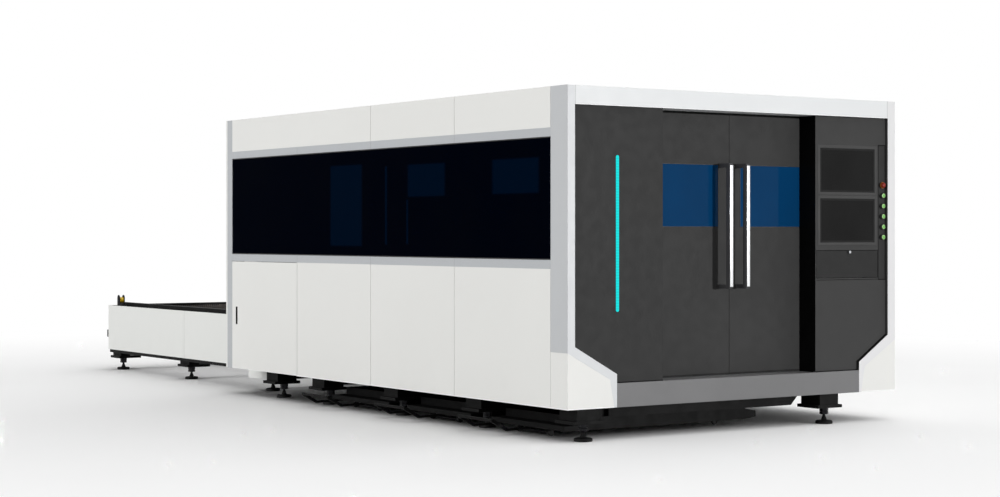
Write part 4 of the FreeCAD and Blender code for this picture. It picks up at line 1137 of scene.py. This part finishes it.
# ---- enclosure
@dataclass
class Enclosure(Assembly):
    """Covers, trims, glass, roof and rear wall."""

    strip_depth: float = 0.005
    strip_height: float = 0.007
    screw: Profile = ((7, 0), (7, 0.6), (5.8, 2.4), (3.4, 3.2), (2.6, 3.2), (2.4, 1.4))
    screw_bays: int = 6
    rear_screw_heights: tuple[float, ...] = (0.30, 0.70, 1.10, 1.50, 1.90)
    gate_screw_height: float = 0.80
    seal_height: float = 0.0055
    hinge_heights: tuple[float, ...] = (1.914, 0.684, 0.558)
    barrel: Profile = ((3, -22.5), (5.5, -21.5), (6.5, -20), (6.5, -0.8), (5.6, -0.4))
    pull_low: float = 0.5366
    pull_high: float = 0.6694

    def build(self) -> None:
        """Dress the covers and add the linings and fittings."""
        for look, nodes in {
                Look.HEADER: ["front_header"], Look.REAR_WHITE: ["rear_wall"],
                Look.WHITE: ["roof_panels", "front_corner_blocks", "side_upper_panels",
                             "side_lower_panels", "left_service_door", "right_service_door"],
                Look.LIGHT: ["front_left_trim"], Look.RIGHT_LIGHT: ["front_right_trim"],
                Look.TRIM: ["side_trims"], Look.SILL: ["front_sill"],
                Look.GRAPHITE: ["left_fascia", "rear_gate"], Look.FRAME: ["enclosure_frame"],
                Look.TRACKS: ["sliding_tracks"], Look.SIDE_PANE: ["side_window_glass"],
                Look.LIGHT_BAR: ["led_strip"]}.items():
            self.dress(look, *nodes)
        self._window_strips()
        self._screws()
        self._side_hinges()
        self._sill_seals()
        for word, out in zip(SIDES, (-1, 1)):
            self._pull_cup(word, out)

    def _window_strips(self) -> None:
        """A rubber strip above and below the long pane of each side."""
        pane = Span.of("side_window_glass")
        depth, height = self.strip_depth, self.strip_height
        for word, outer in zip(SIDES, (pane.low.x, pane.high.x + depth)):
            for place, z in (("lower", pane.low.z), ("upper", pane.high.z - height)):
                self.bar(f"{word}_{place}_window_strip", (outer - depth, pane.low.y + 0.001, z),
                         (outer - 0.0002, pane.high.y - 0.001, z + height), "machine",
                         Look.GASKET, 0.0016)

    def _screws(self) -> None:
        """Dome-headed screws round the rear wall and along the roof's edges."""
        rear, roof, gate = map(Span.of, ("rear_wall", "roof_panels", "rear_gate"))
        above = [(x, roof.low.y + 0.03 + i * (roof.size.y - 0.06) / self.screw_bays, roof.high.z)
                 for x in (roof.low.x + 0.05, roof.high.x - 0.05)
                 for i in range(self.screw_bays + 1)]
        behind = [(x, rear.high.y, z) for x in (rear.low.x + 0.06, rear.high.x - 0.06)
                  for z in self.rear_screw_heights]
        behind += [(gate.low.x + i * gate.size.x / 5, rear.high.y, self.gate_screw_height)
                   for i in range(6)]
        heads = []
        for word, way, places in (("roof", UP, above), ("rear", BACK, behind)):
            head = self.turned(word + "_screw", (0, 0, 0), way, self.screw, 18)
            heads += self.spread(head, places)
        self.fit(self.join("cover_screws", heads), "machine", Look.ZINC)

    def _sill_seals(self) -> None:
        """Near-black lines between the front's dark panels and the sill: painted shade in the
        gap.
        """
        sill, fascia, cabinet = map(Span.of, ("front_sill", "left_fascia", "control_cabinet"))
        for word, x0, x1, face in (("left", sill.low.x, fascia.high.x, fascia.low.y),
                                   ("right", cabinet.low.x, sill.high.x, cabinet.low.y)):
            self.bar(f"{word}_sill_seal", (x0, face - 0.0022, sill.high.z),
                     (x1, face - 0.0002, sill.high.z + self.seal_height), "machine",
                     Look.DEEP, 0.0007)

    def _side_hinges(self) -> None:
        """Three short black hinge barrels on the right front column."""
        column = Span.of("front_right_trim")
        for number, z in enumerate(self.hinge_heights, start=1):
            barrel = self.turned(f"right_hinge_{number}",
                                 (column.high.x - 0.0005, column.low.y + 0.075, z), UP,
                                 mirrored(self.barrel, 0.0), 20)
            self.fit(barrel, "machine", Look.BLACK)

    def _pull_cup(self, word: str, out: int) -> None:
        """The cup in a service door's pull, lined near-black as painted shade.

        Args:
            word: Which side the door is on.
            out: Sign of x that leads outwards there.
        """
        door = Span.of(f"{word}_service_door")
        outer, end = (door.low.x if out < 0 else door.high.x), door.high.y - 0.060
        x0, x1 = sorted((outer - out * 0.0006, outer - out * 0.0132))
        cup = self.block(f"{word}_service_pull_cup", (x0, end - 0.0294, self.pull_low),
                         (x1, end - 0.0006, self.pull_high))
        self.rework(cup, lambda c, n: n.x * out > FLAT, bpy.ops.mesh.inset, thickness=0.0015,
                    depth=-0.0115, use_individual=True)
        self.fit(cup, f"{word}_service", Look.DEEP)


# ---- doors
@dataclass
class SlidingDoors(Assembly):
    """The two leaves with panes, gaskets and tall handles."""

    gasket: float = 0.006
    gasket_lap: float = 0.015
    gasket_proud: float = 0.0015
    strip_proud: float = 0.0016
    strip_side: float = 0.002
    strip_end: float = 0.013

    def build(self) -> None:
        """Dress both leaves and add their fittings."""
        for word in SIDES:
            self.dress(Look.DOOR, f"{word}_door_leaf")
            self.dress(Look.DOOR_PANE, f"{word}_door_window")
            self.dress(Look.HANDLE, f"{word}_door_handle")
            self._gasket(word)
            self._grip_strip(word)

    def _gasket(self, word: str) -> None:
        """The thin rubber round a pane, proud of the leaf.

        Args:
            word: Which leaf.
        """
        pane, face = Span.of(f"{word}_door_window"), Span.of(f"{word}_door_leaf").low.y
        inward = self.gasket_lap - self.gasket / 2
        self.bar(f"{word}_window_gasket",
                 (pane.low.x + inward, face - self.gasket_proud, pane.low.z + inward),
                 (pane.high.x - inward, face + SINK, pane.high.z - inward),
                 f"{word}_door", Look.GASKET, 0.0007, rim=self.gasket)

    def _grip_strip(self, word: str) -> None:
        """The bright strip along the front of a handle.

        Args:
            word: Which leaf.
        """
        grip = Span.of(f"{word}_door_handle")
        low, high = grip.low, grip.high
        self.bar(f"{word}_handle_strip",
                 (low.x + self.strip_side, low.y - self.strip_proud, low.z + self.strip_end),
                 (high.x - self.strip_side, low.y + SINK, high.z - self.strip_end),
                 f"{word}_door", Look.ALUMINIUM, 0.0008, 3)


# ---- cabinet
@dataclass
class ControlCabinet(Assembly):
    """The operator's cabinet: screens, drawer, buttons and stop."""

    sides: int = 40
    screen_height: float = 0.2844
    screen_rim: float = 0.0125
    surround: float = 0.020
    knob_radius: float = 0.009
    slot_half: tuple[float, float] = (0.0006, 0.0035)   # the key slot's half width and height
    strip_lap: float = 0.004
    seal_drop: float = 0.0135               # from the drawer to the middle of the painted shade line below it
    seal_half: float = 0.0018
    cap_profile: Profile = ((6, 0), (9.8, 0.3), (10.2, 0.9), (12.2, 0.9), (14, 1.6), (14.9, 3.4),
                            (14.9, 16.5), (7.9, 16.6), (7.9, 26.2))
    lit_radius: float = 0.0101
    mushroom_profile: Profile = ((4, 0), (9, 0.6), (13.5, 2.2), (16.5, 5), (17.8, 8.5),
                                 (17.8, 10.5), (16.5, 11.8), (7.9, 11.9))
    collar_profile: Profile = ((19.6, -3), (20.4, -2.6), (20.4, 0.2), (19, 0.4), (12.5, 0.4))
    key_rows: int = 5
    key_columns: int = 20
    key_pitch: float = 0.0198

    def build(self) -> None:
        """Dress the cabinet and model its controls."""
        self.dress(Look.CABINET, "control_cabinet")
        self.dress(Look.BEZEL, "monitors")
        self.dress(Look.STRIP, "button_strip")
        self.dress(Look.DRAWER, "keyboard_drawer")
        self.dress(Look.CHROME, "drawer_lock")
        self.dress(Look.BLACK, "emergency_stop_base", "keyboard")
        self._key_slot()
        self._screens()
        self._seals()
        for number in range(1, 6):
            self._button(number)
        self._stop()
        self._keyboard()

    def _key_slot(self) -> None:
        """The key slot in the lock's knob, near-black as painted shade."""
        knob = Span.of("drawer_lock")
        x, y, z = knob.low.x + self.knob_radius, knob.low.y, knob.mid.z
        wide, tall = self.slot_half
        self.bar("lock_key_slot", (x - wide, y - 0.0002, z - tall),
                 (x + wide, y + 0.0004, z + tall), "lock", Look.DEEP, 0.0002, 1)

    def _screens(self) -> None:
        """A glass front in each monitor's recess, and a raised frame round each."""
        both, face = Span.of("monitors"), Span.of("control_cabinet").low.y
        rim, wide, front = self.screen_rim, self.surround, both.low.y + 0.003
        spots = [("lower", both.low.z, both.low.z + self.screen_height),
                 ("upper", both.high.z - self.screen_height, both.high.z)]
        for word, z0, z1 in spots:
            glass = self.block(f"{word}_screen_glass",
                               (both.low.x + rim, front - 0.0015, z0 + rim),
                               (both.high.x - rim, front + SINK, z1 - rim))
            self.rework(glass, lambda c, n: n.y < -FLAT, bpy.ops.mesh.inset, thickness=0.006,
                        depth=-0.0003, use_individual=True)
            self.fit(glass, "machine", Look.DISPLAY)
        for word, z0, z1 in spots:
            self.bar(f"{word}_screen_surround", (both.low.x - wide, face - 0.0016, z0 - wide),
                     (both.high.x + wide, face + SINK, z1 + wide), "machine", Look.SURROUND,
                     0.0007, rim=wide - 0.0005)

    def _seals(self) -> None:
        """Near-black lines round the sunken strip and below the drawer: painted shade in the
        gaps.
        """
        strip, drawer = Span.of("button_strip"), Span.of("keyboard_drawer")
        face, z = Span.of("control_cabinet").low.y, drawer.low.z - self.seal_drop
        lap, half = self.strip_lap, self.seal_half
        self.bar("strip_rubber_line", (strip.low.x - lap, face - 0.0008, strip.low.z - lap),
                 (strip.high.x, face + SINK, strip.high.z + lap), "machine", Look.DEEP,
                 0.0004, 1, rim=lap + 0.0005)
        self.bar("drawer_lower_seal", (drawer.low.x + 0.001, face - 0.0009, z - half),
                 (drawer.high.x - 0.001, face + SINK, z + half), "machine", Look.DEEP,
                 0.0004, 1)

    def _button(self, number: int) -> None:
        """A lit cap with a pale ring.

        Args:
            number: Which button, from the top.
        """
        node = f"green_button_{number}"
        x, face, z = Span.of(node).mid.x, Span.of(node).low.y, Span.of(node).mid.z
        cap = self.turned(f"button_{number}_cap", (x, face, z), BACK, self.cap_profile,
                          self.sides)
        self.coat(cap, Look.PALE_GREEN)
        self.coat(cap, Look.GREEN, lambda c, n: c.y < face + 0.0012
                  and math.hypot(c.x - x, c.z - z) < self.lit_radius)
        self.coat(cap, Look.BLACK, lambda c, n: c.y > face + 0.006)
        self.fit(cap, f"button_{number}", replaces=[node])

    def _stop(self) -> None:
        """The red mushroom head on its orange collar."""
        head, base = Span.of("emergency_stop_button"), Span.of("emergency_stop_base")
        mushroom = self.turned("stop_mushroom", (head.mid.x, head.low.y, head.mid.z), BACK,
                               (*self.mushroom_profile, (7.9, head.size.y / MM)), self.sides)
        self.coat(mushroom, Look.RED)
        self.coat(mushroom, Look.CHROME, lambda c, n: c.y > head.low.y + 0.013)
        self.fit(mushroom, "emergency_stop", replaces=["emergency_stop_button"])
        collar = self.turned("stop_collar", (base.mid.x, base.low.y, base.mid.z), -BACK,
                             self.collar_profile, self.sides)
        self.fit(collar, "machine", Look.ORANGE)

    def _keyboard(self) -> None:
        """A tray of keys in the drawer."""
        case = Span.of("keyboard")
        rise, step = case.size.z / 2, self.key_pitch * 0.94
        key = self.block("keyboard_keys", (0, 0, 0), (0.0165, 0.0165, 0.0040))
        self.rework(key, lambda c, n: n.z > FLAT, bpy.ops.mesh.extrude_region_move,
                    TRANSFORM_OT_translate={"value": (0, 0, 0.0012)})
        self.soften(key, 0.0012, 1)
        self.row(key, self.key_columns, (self.key_pitch, 0, 0))
        self.row(key, self.key_rows, (0, step, step * rise / case.size.y))
        self.hold(key)
        bpy.ops.transform.translate(value=(case.mid.x - self.key_columns * self.key_pitch / 2,
                                           case.low.y + 0.004, case.low.z + rise + 0.0008))
        self.fit(self._named("keyboard_keys"), "drawer", Look.KEYS)


# ---- bed and feet
@dataclass
class Bed(Assembly):
    """The bed's frame, its ground rails and the levelling feet."""

    gauge: float = 1.94
    foot_rows: tuple[float, ...] = (0.063, 1.078, 2.093, 3.108, 3.820)
    table_rows: tuple[float, ...] = (4.420, 5.900, 7.330)
    table_inset: float = 0.080
    pad_reach: float = 0.056
    pad_profile: Profile = ((52, 0), (55.5, 2.5), (55.5, 15), (52.5, 19.5), (47, 21.8),
                            (23, 22.2), (19.5, 25), (16.5, 33), (12.5, 44), (10.5, 50))
    nut_profile: Profile = ((25.5, 61.5), (29.5, 63.5), (29.5, 78), (26, 80), (26, 80.8),
                            (29.5, 83), (29.5, 101.5), (27, 103.8))

    def build(self) -> None:
        """Dress the bed and set the feet."""
        self.dress(Look.FRAME, "bed_frame", "pallet_rails")
        self.dress(Look.RAILS, "gantry_rails")
        self._feet()

    def _feet(self) -> None:
        """Sixteen levelling feet: pad, threaded stem and nuts."""
        space, table = Span.of("levelling_feet"), Span.of("table_panels")
        start = Vector((space.low.x + self.pad_reach, space.low.y + self.pad_reach, 0.0))
        thread = tuple((9.8 if i % 2 else 8.8, 49.5 + 1.6 * i) for i in range(8))
        parts = []
        for word, profile, sides, look in (
                ("pad", self.pad_profile, 40, Look.FEET),
                ("stem", (*thread, (9.8, 103.8)), 20, Look.BOLT),
                ("nut", self.nut_profile, 6, Look.BOLT)):
            parts.append(self.turned("foot_" + word, start, UP, profile, sides))
            self.coat(parts[-1], look)
        feet = [self.join("levelling_foot_1", parts)]
        places = [(x, row) for x in (start.x, start.x + self.gauge) for row in self.foot_rows]
        places += [(x, row) for x in (table.low.x + self.table_inset,
                                      table.high.x - self.table_inset)
                   for row in self.table_rows]
        for number, (x, row) in enumerate(places[1:], start=2):
            feet.append(self.copy(feet[0], f"levelling_foot_{number}",
                                  (x - start.x, row - self.foot_rows[0], 0.0)))
        for foot in feet:
            self.fit(foot, "machine", angle=40.0)
        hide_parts("levelling_feet")


# ---- gantry
@dataclass
class Gantry(Assembly):
    """The beam, its carriage and the cutting head."""

    nozzle: Profile = ((1.6, -4), (3.2, -4), (5.8, 3), (10, 8.5), (10, 13))
    ceramic: Profile = ((11.4, 13.2), (12.6, 14.2), (14.6, 20), (17.3, 29), (17.6, 30),
                        (17.6, 50), (17.2, 50.6))
    bolt: Profile = ((6.5, -0.1), (6.5, 5.8), (5.9, 6.5), (3.6, 6.5), (3.4, 3))

    def build(self) -> None:
        """Dress the moving axes and add the nozzle, its ring and the carriage's screws."""
        head, plate = Span.of("cutting_head"), Span.of("head_carriage")
        self.dress(Look.BEAM, "gantry_beam")
        self.dress(Look.HEAD, "head_carriage", "cutting_head")
        tip = (head.mid.x, head.mid.y, head.low.z)
        for name, profile, look in (("cutting_nozzle", self.nozzle, Look.COPPER),
                                    ("nozzle_ceramic_ring", self.ceramic, Look.ALUMINIUM)):
            self.fit(self.turned(name, tip, UP, profile), "head", look)
        screw = self.turned("carriage_bolt", (plate.low.x + 0.02, plate.low.y, 0.0), -BACK,
                            self.bolt, 18)
        moves = [(x, 0.0, z) for x in (0.0, plate.size.x - 0.04)
                 for z in (plate.low.z + 0.03, plate.mid.z, plate.high.z - 0.03)]
        self.fit(self.join("carriage_screws", self.spread(screw, moves)), "carriage", Look.BOLT)


# ---- table and pallets
@dataclass
class ExchangeTable(Assembly):
    """The table behind the machine with its two pallets."""

    tooth_pitch: float = 0.0196
    tooth_depth: float = 0.018
    tip_from: float = 0.42
    tip_to: float = 0.58
    slat: float = 0.004
    slat_pitch: float = 0.122
    roller_end: Profile = ((6.6, 3), (6.6, 0.2), (11, 0.2), (11, 2.2), (21.8, 2.2), (24.6, 3),
                           (25.8, 7))
    pull_low: float = 0.290
    pull_high: float = 0.355
    pull_width: float = 0.014
    pull_proud: float = 0.036
    pull_bar: float = 0.010

    def build(self) -> None:
        """Dress the table and cut the slats."""
        self.dress(Look.TABLE_WHITE, "table_panels")
        self.dress(Look.FRAME, "table_frame", "upper_pallet_frame", "lower_pallet_frame")
        self._roller()
        self._slats("upper", Look.UPPER_SLATS)
        self._slats("lower", Look.LOWER_SLATS)
        self._end_pulls()

    def _roller(self) -> None:
        """The yellow roller, crowned, with a hub round its pin at both ends."""
        space = Span.of("stop_roller")
        roller = self.turned("yellow_stop_roller", (space.low.x, space.mid.y, space.mid.z),
                             RIGHT, mirrored(self.roller_end, space.size.x / MM), 40)
        self.fit(roller, "roller", Look.YELLOW, replaces=["stop_roller"])

    def _end_pulls(self) -> None:
        """A small black pull near each end of the table's end panel."""
        panel, width, proud = Span.of("table_panels"), self.pull_width, self.pull_proud
        low, high, leg = self.pull_low, self.pull_high, self.pull_bar * 1.4
        x, y = panel.low.x + 0.002, panel.high.y
        grip = self.block("left_table_pull", (x, y + proud - self.pull_bar, low),
                          (x + width, y + proud, high))
        for z in (low + leg, high - leg):
            self.rework(grip, lambda c, n: True, bpy.ops.mesh.bisect, plane_co=(x, y, z),
                        plane_no=UP)
        self.rework(grip, lambda c, n: n.y < -FLAT and not low + leg < c.z < high - leg,
                    bpy.ops.mesh.extrude_region_move,
                    TRANSFORM_OT_translate={"value": (0.0, self.pull_bar - proud - SINK, 0.0)})
        self.soften(grip, 0.0025)
        other = self.copy(grip, "right_table_pull", (panel.size.x - 0.004 - width, 0.0, 0.0))
        for pull in (grip, other):
            self.fit(pull, "machine", Look.BLACK)

    def _slats(self, word: str, look: Look) -> None:
        """All slats of one pallet: one tooth, repeated along the slat and down the pallet.

        Args:
            word: Which pallet.
            look: The slats' finish.
        """
        node = f"{word}_pallet_slats"
        low, high = Span.of(node).low, Span.of(node).high
        count = round((high.x - low.x) / self.tooth_pitch)
        pitch, root = (high.x - low.x) / count, high.z - self.tooth_depth
        tooth = self.block(node + "_toothed", low, (low.x + pitch, low.y + self.slat, root))
        self.rework(tooth, lambda c, n: abs(n.x) > FLAT, bpy.ops.mesh.delete, type="FACE")
        for share in (self.tip_from, self.tip_to):
            self.rework(tooth, lambda c, n: True, bpy.ops.mesh.bisect, plane_no=RIGHT,
                        plane_co=(low.x + pitch * share, low.y, root))
        middle = low.x + pitch / 2
        self.rework(tooth, lambda c, n: n.z > FLAT and abs(c.x - middle) < pitch / 9,
                    bpy.ops.transform.translate, value=(0, 0, self.tooth_depth))
        self.row(tooth, count, (pitch, 0, 0), merge=True)
        self.pick(tooth, lambda c, n: True)
        bpy.ops.mesh.fill_holes(sides=0)
        self._close(tooth)
        rows = round((high.y - low.y) / self.slat_pitch) + 1
        self.row(tooth, rows, (0, self.slat_pitch, 0))
        self.fit(tooth, f"{word}_pallet", look, replaces=[node], angle=20.0)


# ---- trolleys
@dataclass
class ScrapTrolley(Assembly):
    """One scrap trolley with its four castors."""

    number: int
    radius: float = 0.020
    width: float = 0.018
    face: Profile = ((3, 0.8), (7, 0.8), (7.8, 0.2), (11, 0.2), (11.6, 2.4), (14.2, 2.4),
                     (15.2, 0.2), (18.2, 0.6), (20, 3))

    def build(self) -> None:
        """Dress the tub and turn the wheels."""
        self.dress(Look.FRAME, f"scrap_trolley_{self.number}")
        for side in SIDES:
            self._wheels(side)

    def _wheels(self, side: str) -> None:
        """Two tyred wheels on an axle.

        Args:
            side: Which axle of the trolley.
        """
        node = f"trolley_{self.number}_{side}_wheels"
        body = f"trolley_{self.number}_{side}_axle"
        space, radius = Span.of(node), self.radius
        wheel = self.turned(f"{body}_wheel_1", (space.mid.x, space.low.y, radius), BACK,
                            mirrored(self.face, self.width / MM))
        self.coat(wheel, Look.TYRE)
        track = space.size.y - self.width
        other = self.copy(wheel, f"{body}_wheel_2", (0, track, 0))
        axle = self.turned(f"{body}_shaft", (space.mid.x, space.low.y + self.width / 2, radius),
                           BACK, mirrored(((5.2, 0), (5.9, 0.8)), track / MM), 24)
        self.coat(axle, Look.BOLT)
        self.fit(self.join(f"{body}_wheelset", [wheel, other, axle]), body, replaces=[node])


# ---- the whole machine
@dataclass
class LaserCutter:
    """The machine as a whole, group by group."""

    trolleys: int = 3

    def build(self) -> None:
        """Build every group in order."""
        parts = [Enclosure(), SlidingDoors(), ControlCabinet(), Bed(), Gantry(), ExchangeTable()]
        parts += [ScrapTrolley(number) for number in range(1, self.trolleys + 1)]
        for part in parts:
            part.build()
            log.info("built %s", type(part).__name__)


def main() -> None:
    """Set up the studio and build the machine."""
    logging.basicConfig(level=logging.INFO, format="%(name)s: %(message)s")
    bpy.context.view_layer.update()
    studio = Studio()
    studio.build()
    LaserCutter().build()
    studio.let_past("key_lamp", "control_cabinet", 0.25)


if __name__ == "__main__":
    main()
